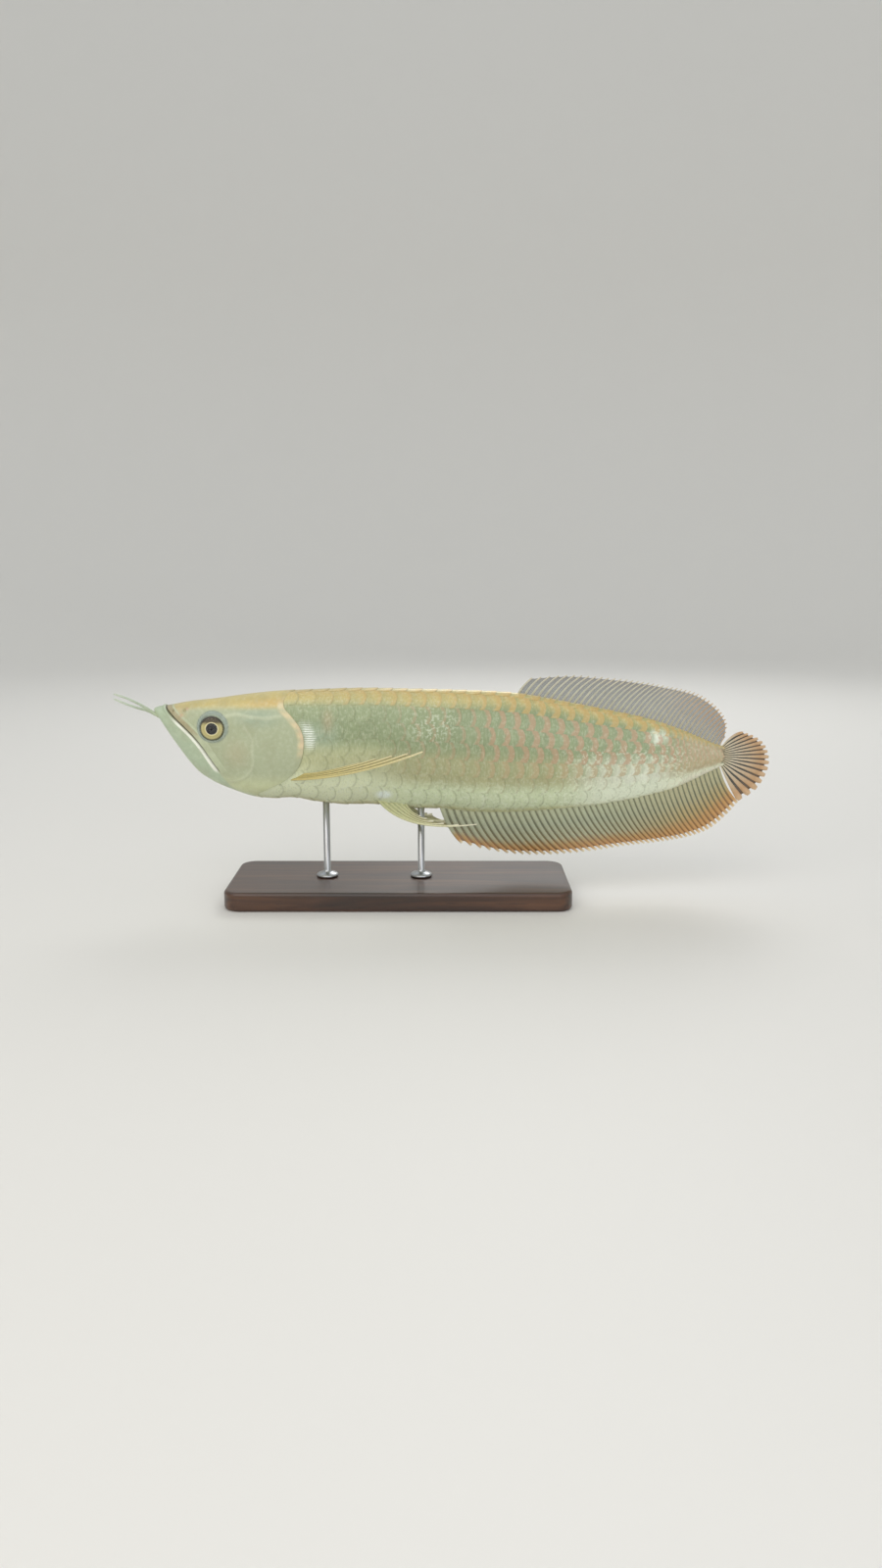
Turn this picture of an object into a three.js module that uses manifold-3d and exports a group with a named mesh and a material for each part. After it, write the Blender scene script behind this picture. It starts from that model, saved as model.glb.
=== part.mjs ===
// A life-size silver arowana as a still display model: a long, deep, thin-bodied freshwater fish
// with a drawbridge mouth, two chin barbels, large scales and long dorsal and anal fins that
// almost reach the small tail fin. Two short rods hold it level over a flat base.
//
// Millimetres, +Z up. The head points along -X and the fish's left side faces -Y. The fish is laid
// out in its own coordinates first: x runs from the chin tip towards the tail, and z is measured
// from the long axis through the tail root. The exported group's origin is the centre of the
// stand's underside.

import * as THREE from "three";
import { mergeVertices } from "three/addons/utils/BufferGeometryUtils.js";
import Module from "manifold-3d";

const wasm = await Module();
wasm.setup();

// Driving sizes of the fish
const PEDUNCLE_END = 419; // chin tip to the root of the tail fin
const VENT = 209; // chin tip to the cut between trunk and tail, just ahead of the anal fin
const HEAD_REACH = 116; // the head's surface is laid out this far, then cut along the gill margin
const TRUNK_START = 62; // the scaled body starts inside the head and is cut back to the gill margin
const TAIL_SWAY = 9; // how far the tail fin's tip swings to the right side
const SWAY_START = 190;
const SWAY_LENGTH = 260;
const LOWEST_TIP = -77; // the deepest ray of the anal fin, from the long axis
const GAP = 0.3; // between neighbouring pieces
const CUT_TOLERANCE = 0.04; // slivers smaller than this are merged away after the cuts

// Driving sizes of the stand
const BASE_LENGTH = 250;
const BASE_WIDTH = 92;
const BASE_HEIGHT = 14;
const BASE_CORNER = 12;
const BASE_BEVEL = 2.5;
const BASE_CENTRE = 180; // along the fish from the chin tip
const FIN_CLEARANCE = 16; // from the base's top to the lowest fin ray
const ROD_RADIUS = 2.5;
const ROD_FRONT = 126;
const ROD_REAR = 196;

// A smooth curve through points [t, value]; past its ends it runs on straight.
function smooth(points) {
  const t = points.map((p) => p[0]);
  const v = points.map((p) => p[1]);
  const last = t.length - 1;
  const slope = t.map((_, i) => {
    const before = i > 0 ? (v[i] - v[i - 1]) / (t[i] - t[i - 1]) : null;
    const after = i < last ? (v[i + 1] - v[i]) / (t[i + 1] - t[i]) : null;
    if (before === null) return after;
    if (after === null) return before;
    const left = t[i] - t[i - 1];
    const right = t[i + 1] - t[i];
    return (right * before + left * after) / (left + right);
  });
  return (at) => {
    if (at <= t[0]) return v[0] + (at - t[0]) * slope[0];
    if (at >= t[last]) return v[last] + (at - t[last]) * slope[last];
    let i = 0;
    while (t[i + 1] < at) i++;
    const h = t[i + 1] - t[i];
    const s = (at - t[i]) / h;
    const s2 = s * s;
    const s3 = s2 * s;
    return (
      v[i] * (2 * s3 - 3 * s2 + 1) +
      h * slope[i] * (s3 - 2 * s2 + s) +
      v[i + 1] * (3 * s2 - 2 * s3) +
      h * slope[i + 1] * (s3 - s2)
    );
  };
}

const clamp01 = (value) => Math.min(1, Math.max(0, value));
const ease = (value) => {
  const t = clamp01(value);
  return t * t * (3 - 2 * t);
};

// The body's side outline: x from the chin tip, z from the long axis.
const back = smooth([
  [2.6, 33.4], [6, 34.6], [13, 35.5], [27, 38], [47, 40.3], [68, 43.2], [88, 45.4], [124, 47.2],
  [155, 48], [190, 47.4], [230, 46.4], [266, 44.2], [296, 38.9], [332, 31.8], [365, 24.3],
  [383, 18.3], [400, 11.4], [412, 6.2], [419, 4.1],
]);
const belly = smooth([
  [2.6, 31.6], [6, 26.6], [10.7, 18.6], [20.2, 3.8], [27.3, -6.4], [33.4, -13.5], [41.5, -19.3],
  [58, -27], [76, -32.6], [88, -33.6], [102, -33], [118, -35.8], [136, -37.9], [163, -38],
  [190, -41.2], [209, -41.2], [234, -43.8], [252, -44.3], [270, -43.8], [296, -42], [332, -38.2],
  [363, -32.4], [383, -27], [397, -21], [408, -15.6], [419, -10.4],
]);
const halfWidth = smooth([
  [2.6, 2.6], [4, 4.6], [6, 6.2], [10, 8.2], [20, 11.2], [30, 12.8], [42, 14.2],
  [60, 15.8], [80, 17], [100, 17.6], [130, 18.2], [165, 18.2], [200, 17.4],
  [240, 15.8], [280, 13.6], [320, 10.8], [350, 8.4], [380, 5.8], [400, 4.3], [419, 3.2],
]);
// Where the section is widest, as a share of its height from the belly.
const widestShare = smooth([
  [2.6, 0.5], [20, 0.58], [42, 0.55], [80, 0.52], [110, 0.56], [160, 0.62],
  [240, 0.62], [320, 0.56], [400, 0.5], [419, 0.5],
]);
// Powers of the section's two halves. Above 2 is fuller than an ellipse, below 2 is keeled.
const roofPower = smooth([
  [2.6, 2.1], [20, 2.7], [60, 2.9], [100, 2.6], [160, 2.2], [260, 2], [419, 1.9],
]);
const keelPower = smooth([
  [2.6, 2], [30, 1.8], [90, 1.75], [150, 1.5], [240, 1.55], [330, 1.7], [419, 1.8],
]);

// Half the body's width at a point of its side view, or 0 outside it.
function widthAt(x, z) {
  const top = back(x);
  const bottom = belly(x);
  const centre = bottom + widestShare(x) * (top - bottom);
  const above = z > centre;
  const share = above ? (z - centre) / (top - centre) : (centre - z) / (centre - bottom);
  if (share >= 1) return 0;
  const power = above ? roofPower(x) : keelPower(x);
  return halfWidth(x) * (1 - share ** power) ** (1 / power);
}

// One side of the section at x as [y, z] points, from the back's midline (share 0) to the belly's
// (share 1) by length along the skin. grow sets the whole section out by that much.
const SECTION_SAMPLES = 80;
function sectionAt(x, grow = 0) {
  const top = back(x) + grow;
  const bottom = belly(x) - grow;
  const half = halfWidth(x) + grow;
  const centre = bottom + widestShare(x) * (top - bottom);
  const points = [];
  const lengths = [0];
  for (let i = 0; i <= SECTION_SAMPLES; i++) {
    const angle = Math.PI / 2 - (i / SECTION_SAMPLES) * Math.PI;
    const above = angle > 0;
    const power = 2 / (above ? roofPower(x) : keelPower(x));
    const y = half * Math.abs(Math.cos(angle)) ** power;
    const z = centre + (above ? top - centre : bottom - centre) * Math.abs(Math.sin(angle)) ** power;
    points.push([i === 0 || i === SECTION_SAMPLES ? 0 : y, z]);
    if (i > 0) {
      const [yBefore, zBefore] = points[i - 1];
      lengths.push(lengths[i - 1] + Math.hypot(points[i][0] - yBefore, z - zBefore));
    }
  }
  return (share) => {
    const wanted = clamp01(share) * lengths[SECTION_SAMPLES];
    let i = 1;
    while (i < SECTION_SAMPLES && lengths[i] < wanted) i++;
    const t = (wanted - lengths[i - 1]) / (lengths[i] - lengths[i - 1]);
    const [y0, z0] = points[i - 1];
    const [y1, z1] = points[i];
    const length = lengths[i] - lengths[i - 1];
    return {
      y: y0 + t * (y1 - y0),
      z: z0 + t * (z1 - z0),
      normal: [-(z1 - z0) / length, (y1 - y0) / length],
    };
  };
}

// A geometry from points [x, y, z] and triangles of point numbers.
function geometryFrom(points, triangles) {
  const geometry = new THREE.BufferGeometry();
  geometry.setAttribute("position", new THREE.Float32BufferAttribute(points.flat(), 3));
  geometry.setIndex(triangles.flat());
  return geometry;
}

// A solid from a geometry, with corners that lie together made one.
function solidOf(geometry) {
  const bare = new THREE.BufferGeometry();
  bare.setAttribute("position", geometry.getAttribute("position"));
  if (geometry.index) bare.setIndex(geometry.index);
  const merged = mergeVertices(bare, 1e-4);
  return new wasm.Manifold(
    new wasm.Mesh({
      numProp: 3,
      vertProperties: new Float32Array(merged.attributes.position.array),
      triVerts: new Uint32Array(merged.index.array),
    }),
  );
}

// A solid from points and triangles, whichever way round the triangles are listed.
function closedSolid(points, triangles) {
  const made = solidOf(geometryFrom(points, triangles));
  if (made.volume() > 0) return made;
  return solidOf(geometryFrom(points, triangles.map(([a, b, c]) => [a, c, b])));
}

// The largest closed body of a cut or joined solid.
function largest(solid) {
  return solid.decompose().reduce((best, body) => (body.volume() > best.volume() ? body : best));
}

// The fish's gentle bend: everything behind SWAY_START swings sideways.
const sway = (x) => (x > SWAY_START ? TAIL_SWAY * ((x - SWAY_START) / SWAY_LENGTH) ** 2 : 0);

// The finished surface of a solid, bent with the fish unless it belongs to the stand.
function geometryOf(solid, bent = true) {
  const mesh = largest(solid).simplify(CUT_TOLERANCE).getMesh();
  const positions = new Float32Array(mesh.numVert * 3);
  for (let i = 0; i < mesh.numVert; i++) {
    const at = i * mesh.numProp;
    const [x, y, z] = mesh.vertProperties.subarray(at, at + 3);
    positions.set([x, bent ? y + sway(x) : y, z], i * 3);
  }
  const geometry = new THREE.BufferGeometry();
  geometry.setAttribute("position", new THREE.BufferAttribute(positions, 3));
  geometry.setIndex(new THREE.BufferAttribute(new Uint32Array(mesh.triVerts), 1));
  return geometry.toNonIndexed();
}

// A closed skin through rings of points: each ring has the same number of points, listed with the
// outside on the left of the way round seen from the first ring, and fans close both ends.
function loft(rings, startTip, endTip) {
  const around = rings[0].length;
  const points = [startTip, ...rings.flat(), endTip];
  const end = points.length - 1;
  const triangles = [];
  for (let j = 0; j < around; j++) {
    const next = (j + 1) % around;
    triangles.push([0, 1 + next, 1 + j]);
    for (let i = 0; i + 1 < rings.length; i++) {
      const a = 1 + i * around + j;
      const b = 1 + i * around + next;
      triangles.push([a, b, b + around], [a, b + around, a + around]);
    }
    const lastRing = 1 + (rings.length - 1) * around;
    triangles.push([end, lastRing + j, lastRing + next]);
  }
  return solidOf(geometryFrom(points, triangles));
}

// A ring of the body's section at x: back, left side (-Y), belly, right side.
function bodyRing(x, halfCount, grow = 0, rise = () => 0) {
  const section = sectionAt(x, grow);
  const ring = [];
  for (let i = 0; i < 2 * halfCount; i++) {
    const left = i <= halfCount;
    const share = left ? i / halfCount : 2 - i / halfCount;
    const { y, z, normal } = section(share);
    const lift = rise(x, z);
    const side = left ? -1 : 1;
    ring.push([x, side * (y + lift * normal[0]), z + lift * normal[1]]);
  }
  return ring;
}

// The smooth body between two stations, grown by a margin.
function smoothBody(stations, halfCount, grow = 0, rise) {
  const rings = stations.map((x) => bodyRing(x, halfCount, grow, rise));
  const middle = (x) => (back(x) + belly(x)) / 2;
  const first = stations[0];
  const last = stations[stations.length - 1];
  return loft(rings, [first - 0.5 - grow, 0, middle(first)], [last + 0.5 + grow, 0, middle(last)]);
}

const spread = (from, to, count) =>
  Array.from({ length: count + 1 }, (_, i) => from + ((to - from) * i) / count);

// A wall across the whole fish whose side outline is a list of [x, z] points.
const WALL_WIDTH = 80;
function wall(outline) {
  const shape = new THREE.Shape(outline.map(([x, z]) => new THREE.Vector2(x, z)));
  const geometry = new THREE.ExtrudeGeometry(shape, { depth: WALL_WIDTH, bevelEnabled: false });
  geometry.translate(0, 0, -WALL_WIDTH / 2);
  geometry.rotateX(Math.PI / 2);
  return solidOf(geometry);
}

// Everything ahead of a line x = line(z).
const LINE_BOTTOM = -50;
const LINE_TOP = 60;
const AHEAD = -60;
function aheadOf(line, shift = 0) {
  const levels = spread(LINE_BOTTOM, LINE_TOP, 44);
  return wall([
    [AHEAD, LINE_BOTTOM],
    ...levels.map((z) => [line(z) + shift, z]),
    [AHEAD, LINE_TOP],
  ]);
}

// Everything ahead of one station.
const ahead = (x) => aheadOf(() => x);

// The gill cover's rear edge and the nape above it, as x at each level z.
const gillMargin = smooth([
  [-50, 66], [-36, 72], [-29, 77], [-25.5, 83], [-18.3, 97], [-12.2, 104.6], [-4.3, 109.6],
  [5, 112], [14, 112.2], [21.6, 109.6], [29.5, 103.6], [35, 98.8], [39, 98], [44, 100.4], [60, 110],
]);
// The cleft of the mouth, from over the snout down to the jaw's corner and out at the throat.
const mouthLine = smooth([
  [-50, 75], [-24, 58.4], [-14, 51.4], [-8, 47.4], [-0.8, 43], [7.3, 38], [14.3, 32.4],
  [21.2, 25.6], [26.9, 19.6], [35, 12.2], [37.4, 10.6], [60, 9.6],
]);

// The gill cover stands proud of the trunk: the rise grows towards its rear edge and fades out
// above the throat and below the nape.
const GILL_RISE = 1.1;
const GILL_COVER_LENGTH = 34;
const THROAT_FADE = 12;
const NAPE_FADE = 14;
const gillRise = (x, z) =>
  GILL_RISE *
  ease((x - (gillMargin(z) - GILL_COVER_LENGTH)) / GILL_COVER_LENGTH) *
  ease((z - belly(x)) / THROAT_FADE) *
  ease((back(x) - z) / NAPE_FADE);

const HEAD_STATIONS = [
  2.6, 4, 6, 9, 13, 18, 23, 28, 34, 40, 46, 52, 59, 66, 74, 82, 90, 98, 105, HEAD_REACH,
];
const HEAD_HALF_COUNT = 17;
const headWhole = smoothBody(HEAD_STATIONS, HEAD_HALF_COUNT, 0, gillRise);

// A tube with a radius for each point of its path, closed at both ends.
function taperedTube(path, radii, sides) {
  const points = path.map((p) => new THREE.Vector3(...p));
  const last = points.length - 1;
  let across = new THREE.Vector3(0, 0, 1);
  const rings = points.map((p, i) => {
    const along = points[Math.min(i + 1, last)].clone().sub(points[Math.max(i - 1, 0)]).normalize();
    across = across.clone().addScaledVector(along, -across.dot(along)).normalize();
    const up = new THREE.Vector3().crossVectors(along, across);
    return Array.from({ length: sides }, (_, j) => {
      const angle = (2 * Math.PI * j) / sides;
      return p
        .clone()
        .addScaledVector(across, radii[i] * Math.cos(angle))
        .addScaledVector(up, radii[i] * Math.sin(angle))
        .toArray();
    });
  });
  return loft(rings, points[0].toArray(), points[last].toArray());
}

// Points of a smooth 3-D path through a few given ones.
function pathThrough(points, count) {
  const marks = points.map((p) => new THREE.Vector3(...p));
  const curve = new THREE.CatmullRomCurve3(marks, false, "centripetal");
  return curve.getSpacedPoints(count).map((p) => p.toArray());
}

// How thick a welt is at step i of count: full at the middle, thinner to both ends.
const swelling = (i, count, least) => least + (1 - least) * Math.sin((Math.PI * i) / count) ** 0.5;

// A lip: a rounded welt on the skin that follows the mouth line at a set distance, from the jaw's
// corner up one side, over the front and down the other.
const LIP_STEPS = 30;
const LIP_LEVELS = 11;
const LIP_TOP = 34;
const SNOUT_TOP = 37;
const LOWER_LIP = { offset: -2, radius: 1.5 };
const UPPER_LIP = { offset: 2, radius: 1.3 };
const MOUTH_CORNER = -12;
function lip({ offset, radius }) {
  const side = spread(MOUTH_CORNER, LIP_TOP, LIP_LEVELS).map((z) => [mouthLine(z) + offset, z]);
  const onSide = (sign) => side.map(([x, z]) => [x, sign * widthAt(x, z), z]);
  const crownX = mouthLine(SNOUT_TOP) + offset;
  const path = [...onSide(-1), [crownX, 0, back(crownX)], ...onSide(1).reverse()];
  const steps = pathThrough(path, LIP_STEPS);
  return taperedTube(steps, steps.map((_, i) => radius * swelling(i, LIP_STEPS, 0.4)), 6);
}

// The lower jaw: all of the head ahead of the mouth line, with its pale lip.
const lowerJaw = largest(headWhole.add(lip(LOWER_LIP)).intersect(aheadOf(mouthLine, -GAP)));

// Eyes: flattened globes that bulge a little from their sockets.
const EYE = { x: 47.4, z: 21.2, radius: 9.6, depth: 5.8, bulge: 2.3 };
const eyeCentreY = widthAt(EYE.x, EYE.z) + EYE.bulge - EYE.depth;

function eyeBall(side, grow = 0) {
  const geometry = new THREE.SphereGeometry(1, 18, 10);
  geometry.rotateX(Math.PI / 2);
  geometry.scale(EYE.radius + grow, EYE.depth + grow, EYE.radius + grow);
  geometry.translate(EYE.x, side * eyeCentreY, EYE.z);
  return solidOf(geometry);
}

// The raised rim of the eye socket: a ring of small round sections set half into the skin.
const RIM_STEPS = 22;
const RIM_SIDES = 5;
const RIM_THICKNESS = 1.1;
const RIM_RADIUS = EYE.radius + 0.8;
function orbitRim(side) {
  const turns = spread(0, 2 * Math.PI, RIM_STEPS).slice(0, RIM_STEPS);
  const rings = turns.map((angle) => {
    const x = EYE.x + RIM_RADIUS * Math.cos(angle);
    const z = EYE.z + RIM_RADIUS * Math.sin(angle);
    const y = widthAt(x, z) - 0.2;
    return Array.from({ length: RIM_SIDES }, (_, k) => {
      const turn = (2 * Math.PI * k) / RIM_SIDES;
      const out = RIM_THICKNESS * Math.cos(turn);
      const rise = RIM_THICKNESS * Math.sin(turn);
      return [x + out * Math.cos(angle), side * (y + rise), z + out * Math.sin(angle)];
    });
  });
  const at = (i, k) => (i % RIM_STEPS) * RIM_SIDES + (k % RIM_SIDES);
  const triangles = [];
  for (let i = 0; i < RIM_STEPS; i++) {
    for (let k = 0; k < RIM_SIDES; k++) {
      triangles.push([at(i, k), at(i, k + 1), at(i + 1, k + 1)]);
      triangles.push([at(i, k), at(i + 1, k + 1), at(i + 1, k)]);
    }
  }
  return closedSolid(rings.flat(), triangles);
}

// Nostrils: two small pits on each side of the snout.
const NOSTRILS = [
  { x: 18.5, z: 32.6, radius: 1.1 },
  { x: 26.5, z: 33, radius: 1.4 },
];
function nostril(place, side) {
  const geometry = new THREE.SphereGeometry(place.radius, 8, 6);
  geometry.translate(place.x, side * widthAt(place.x, place.z), place.z);
  return solidOf(geometry);
}

// The low ridge that curls round the back of the cheek, ahead of the gill cover.
const CHEEK_RIDGE = [[75.4, 4], [76, -3], [74.4, -9], [70, -15], [63, -18.6], [57, -19.6]];
const RIDGE_STEPS = 10;
const RIDGE_RADIUS = 0.9;
function cheekRidge(side) {
  const marks = CHEEK_RIDGE.map(([x, z]) => [x, side * (widthAt(x, z) - 0.1), z]);
  const path = pathThrough(marks, RIDGE_STEPS);
  return taperedTube(path, path.map((_, i) => RIDGE_RADIUS * swelling(i, RIDGE_STEPS, 0.4)), 5);
}

const headRegion = aheadOf(gillMargin).subtract(aheadOf(mouthLine));
let head = headWhole.add(lip(UPPER_LIP));
for (const side of [-1, 1]) {
  head = head.add(orbitRim(side)).add(cheekRidge(side));
  head = head.subtract(eyeBall(side, GAP));
  for (const place of NOSTRILS) head = head.subtract(nostril(place, side));
}
head = largest(head.intersect(headRegion));

// The smooth body, used to trim what meets it.
const BODY_STATIONS = [...HEAD_STATIONS, ...spread(122, 402, 28), 412, PEDUNCLE_END];
const trimBody = smoothBody(BODY_STATIONS, 16, GAP);

// Large scales lie in columns like roof tiles, alternate columns set off by half a row. Each scale
// tilts up to its rear edge, which is rounded, and the next column starts below it.
const SCALE_ROWS = 8; // on each side
const SCALE_PITCH = 12.2;
const SCALE_STEP = 0.45;
const SCALE_ROUNDING = 3.2;
const SCALES_START = 100;
const SCALES_END = 398;
const EDGE_FADE = 0.12; // share of the half section over which the relief fades at back and belly
const scalePitch = (x) => SCALE_PITCH * (1 - 0.55 * ease((x - 310) / 90));

// A ring of the scaled body at station x, sunk behind a column's rear edge. Every second corner is
// pushed back, so that each scale's edge is rounded.
function scaleRing(x, column, behind, sunk) {
  const halfCount = 2 * SCALE_ROWS;
  const rounding = SCALE_ROUNDING * (scalePitch(x) / SCALE_PITCH);
  return Array.from({ length: 2 * halfCount }, (_, i) => {
    const share = i <= halfCount ? i / halfCount : 2 - i / halfCount;
    const fade = ease(share / EDGE_FADE) * ease((1 - share) / EDGE_FADE);
    const shift = (i + column) % 2 === 0 ? rounding * fade : 0;
    const at = x + behind + shift;
    const { y, z, normal } = sectionAt(at)(share);
    const side = i <= halfCount ? -1 : 1;
    return [at, side * (y - sunk * fade * normal[0]), z - sunk * fade * normal[1]];
  });
}

function scaledRings() {
  const halfCount = 2 * SCALE_ROWS;
  const rings = spread(TRUNK_START, SCALES_START - 8, 3).map((x) => bodyRing(x, halfCount));
  let column = 0;
  for (let x = SCALES_START; x < SCALES_END; x += scalePitch(x)) {
    rings.push(scaleRing(x, column, 0, 0), scaleRing(x, column, GAP, SCALE_STEP));
    column++;
  }
  for (const x of [SCALES_END + 6, 412, PEDUNCLE_END + 4]) rings.push(bodyRing(x, halfCount));
  return rings;
}
const trunkAndTail = loft(scaledRings(), [TRUNK_START - 0.5, 0, 5], [PEDUNCLE_END + 4.5, 0, 0]);
const headSpace = aheadOf(gillMargin, GAP + 0.1);
const trunk = largest(trunkAndTail.subtract(headSpace).intersect(ahead(VENT)));
const tail = largest(trunkAndTail.subtract(ahead(VENT + GAP)).intersect(ahead(PEDUNCLE_END)));

// A fin: a thin membrane with a raised ridge along each ray. rays is a list of functions from
// t (0 at the root, 1 at the tip) to a point, across gives the thickness direction at ray i, and
// the tips stand out a little past the membrane between them.
const MEMBRANE_HALF = 0.3;
const MEMBRANE_REACH = 0.955;
const RAY_TIP_HALF = 0.35;
function fin({ rays, across, rootHalf, rows }) {
  const columns = 2 * rays.length - 1;
  const blend = (p, q) => p.map((value, k) => (value + q[k]) / 2);
  const sides = [[], []];
  for (let c = 0; c < columns; c++) {
    const i = c >> 1;
    const onRay = c % 2 === 0;
    const normal = onRay ? across(i) : blend(across(i), across(i + 1));
    for (let r = 0; r <= rows; r++) {
      const t = r / rows;
      const half = onRay ? rootHalf + (RAY_TIP_HALF - rootHalf) * t : MEMBRANE_HALF * (1 - 0.3 * t);
      const reach = MEMBRANE_REACH * t;
      const middle = onRay ? rays[i](t) : blend(rays[i](reach), rays[i + 1](reach));
      sides[0].push(middle.map((value, k) => value - half * normal[k]));
      sides[1].push(middle.map((value, k) => value + half * normal[k]));
    }
  }
  const size = columns * (rows + 1);
  const at = (c, r, side) => side * size + c * (rows + 1) + r;
  const triangles = [];
  const quad = (a, b, c, d) => triangles.push([a, b, c], [a, c, d]);
  const end = columns - 1;
  for (let c = 0; c < end; c++) {
    for (let r = 0; r < rows; r++) {
      quad(at(c, r, 0), at(c + 1, r, 0), at(c + 1, r + 1, 0), at(c, r + 1, 0));
      triangles.push([at(c, r, 1), at(c + 1, r + 1, 1), at(c + 1, r, 1)]);
      triangles.push([at(c, r, 1), at(c, r + 1, 1), at(c + 1, r + 1, 1)]);
    }
    quad(at(c, rows, 0), at(c + 1, rows, 0), at(c + 1, rows, 1), at(c, rows, 1));
    quad(at(c, 0, 1), at(c + 1, 0, 1), at(c + 1, 0, 0), at(c, 0, 0));
  }
  for (let r = 0; r < rows; r++) {
    quad(at(0, r, 0), at(0, r + 1, 0), at(0, r + 1, 1), at(0, r, 1));
    quad(at(end, r, 1), at(end, r + 1, 1), at(end, r + 1, 0), at(end, r, 0));
  }
  return closedSolid([...sides[0], ...sides[1]], triangles);
}

// A bent ray from root to tip, drawn towards the point bend on its way.
function bentRay(root, bend, tip) {
  const at = (t, k) => root[k] * (1 - t) ** 2 + 2 * bend[k] * t * (1 - t) + tip[k] * t * t;
  return (t) => [at(t, 0), at(t, 1), at(t, 2)];
}

// Shares along a fin's base, closer together towards the tail.
const CROWDING = 0.3;
const crowded = (f) => f * (1 + CROWDING) - CROWDING * f * f;

// The long fins' edges swing gently from side to side.
const WAVE_HEIGHT = 2.4;
const WAVE_LENGTH = 95;
const ripple = (x, phase) => WAVE_HEIGHT * Math.sin((2 * Math.PI * x) / WAVE_LENGTH + phase);
const ROOT_SUNK = 2.5; // how far a fin's root starts inside the body before it is trimmed

// A long fin on the midline. sweep is how far each ray's tip trails its root, and tipZ its level,
// both by share of the rays from front to rear. kneeZ says how upright a ray leaves the body.
const MEDIAN_ROWS = 4;
const KNEE_X = 0.36;
function medianFin({ count, start, end, edge, up, sweep, tipZ, phase, rootHalf, kneeZ }) {
  const rays = [];
  for (let i = 0; i < count; i++) {
    const f = i / (count - 1);
    const x = start + (end - start) * crowded(f);
    const tipX = x + sweep(f);
    const root = [x, 0, edge(x) - up * ROOT_SUNK];
    const tip = [tipX, ripple(tipX, phase), tipZ(f)];
    const knee = [x + sweep(f) * KNEE_X, 0, root[2] + (tip[2] - root[2]) * kneeZ];
    rays.push(bentRay(root, knee, tip));
  }
  return fin({ rays, across: () => [0, 1, 0], rootHalf, rows: MEDIAN_ROWS });
}

const dorsalFin = medianFin({
  count: 32, start: 266, end: 415.5, edge: back, up: 1, phase: 0.6, rootHalf: 0.85, kneeZ: 0.64,
  sweep: smooth([
    [0, 11], [0.1, 18.5], [0.22, 22], [0.5, 23.5], [0.72, 21.5], [0.85, 18], [0.93, 13], [1, 4.4],
  ]),
  tipZ: smooth([
    [0, 55.2], [0.1, 57], [0.22, 55.8], [0.5, 49.2], [0.72, 40.8], [0.85, 29.8], [0.93, 21.2],
    [1, 11.4],
  ]),
});
const analFin = medianFin({
  count: 38, start: 211, end: 415, edge: belly, up: -1, phase: 2.2, rootHalf: 0.95, kneeZ: 0.68,
  sweep: smooth([
    [0, 15.5], [0.1, 23.5], [0.2, 26], [0.3, 26.5], [0.44, 26], [0.6, 24], [0.75, 21.5],
    [0.93, 18], [1, 16],
  ]),
  tipZ: smooth([
    [0, -67], [0.1, -75.6], [0.2, LOWEST_TIP], [0.3, -74.8], [0.44, -71.2], [0.6, -68.6],
    [0.75, -63.6], [0.85, -57], [0.93, -47.6], [1, -38.4],
  ]),
});

// The tail fin: rays fan from the end of the body. The upper ones arch before they run back, and
// the lowest hang down close behind the anal fin.
const CAUDAL_RAYS = 15;
const CAUDAL_ROOT_TOP = 2.6;
const CAUDAL_ROOT_DEPTH = 11.6;
const caudalTipX = smooth([
  [0, 433.4], [0.15, 441.6], [0.3, 449.4], [0.45, 453.4], [0.6, 454], [0.75, 450.2], [0.88, 443.8],
  [1, 433.4],
]);
const caudalTipZ = smooth([
  [0, 14.2], [0.15, 11.4], [0.3, 6], [0.45, -1.6], [0.6, -10.6], [0.75, -20.6], [0.88, -29.4],
  [1, -36.2],
]);
function caudalFin() {
  const rays = [];
  for (let i = 0; i < CAUDAL_RAYS; i++) {
    const f = i / (CAUDAL_RAYS - 1);
    const root = [PEDUNCLE_END - 2, 0, CAUDAL_ROOT_TOP - CAUDAL_ROOT_DEPTH * f];
    const tip = [caudalTipX(f), 1.6 * Math.sin(5 * f), caudalTipZ(f)];
    const arch = 0.42 + 0.53 * (1 - f) ** 6;
    const droop = 0.5 - 0.2 * f ** 3;
    const bend = [root[0] + (tip[0] - root[0]) * droop, 0, root[2] + (tip[2] - root[2]) * arch];
    rays.push(bentRay(root, bend, tip));
  }
  return fin({ rays, across: () => [0, 1, 0], rootHalf: 1.2, rows: 4 });
}

// A paired fin from a table of its first and last rays. Each point is [x, out, z], with out
// measured from the midline, and the tips follow a curve from the long first ray to the last.
// The roots' out is how deep they start below the skin.
function pairedFin({ side, count, roots, bends, tips, rootHalf, rows }) {
  const along = (points, f) => [0, 1, 2].map((k) => smooth(points.map(([at, ...p]) => [at, p[k]]))(f));
  const rays = [];
  for (let i = 0; i < count; i++) {
    const f = i / (count - 1);
    const [rootX, sunk, rootZ] = along(roots, f);
    const [bendX, bendOut, bendZ] = along(bends, f);
    const [tipX, tipOut, tipZ] = along(tips, f);
    const root = [rootX, side * (widthAt(rootX, rootZ) - sunk), rootZ];
    rays.push(bentRay(root, [bendX, side * bendOut, bendZ], [tipX, side * tipOut, tipZ]));
  }
  const point = (i, t) => new THREE.Vector3(...rays[i](t));
  const across = (i) => {
    const length = point(i, 0.75).sub(point(i, 0.1));
    const width = point(Math.min(count - 1, i + 1), 0.5).sub(point(Math.max(0, i - 1), 0.5));
    return length.cross(width).normalize().toArray();
  };
  return fin({ rays, across, rootHalf, rows });
}

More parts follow.
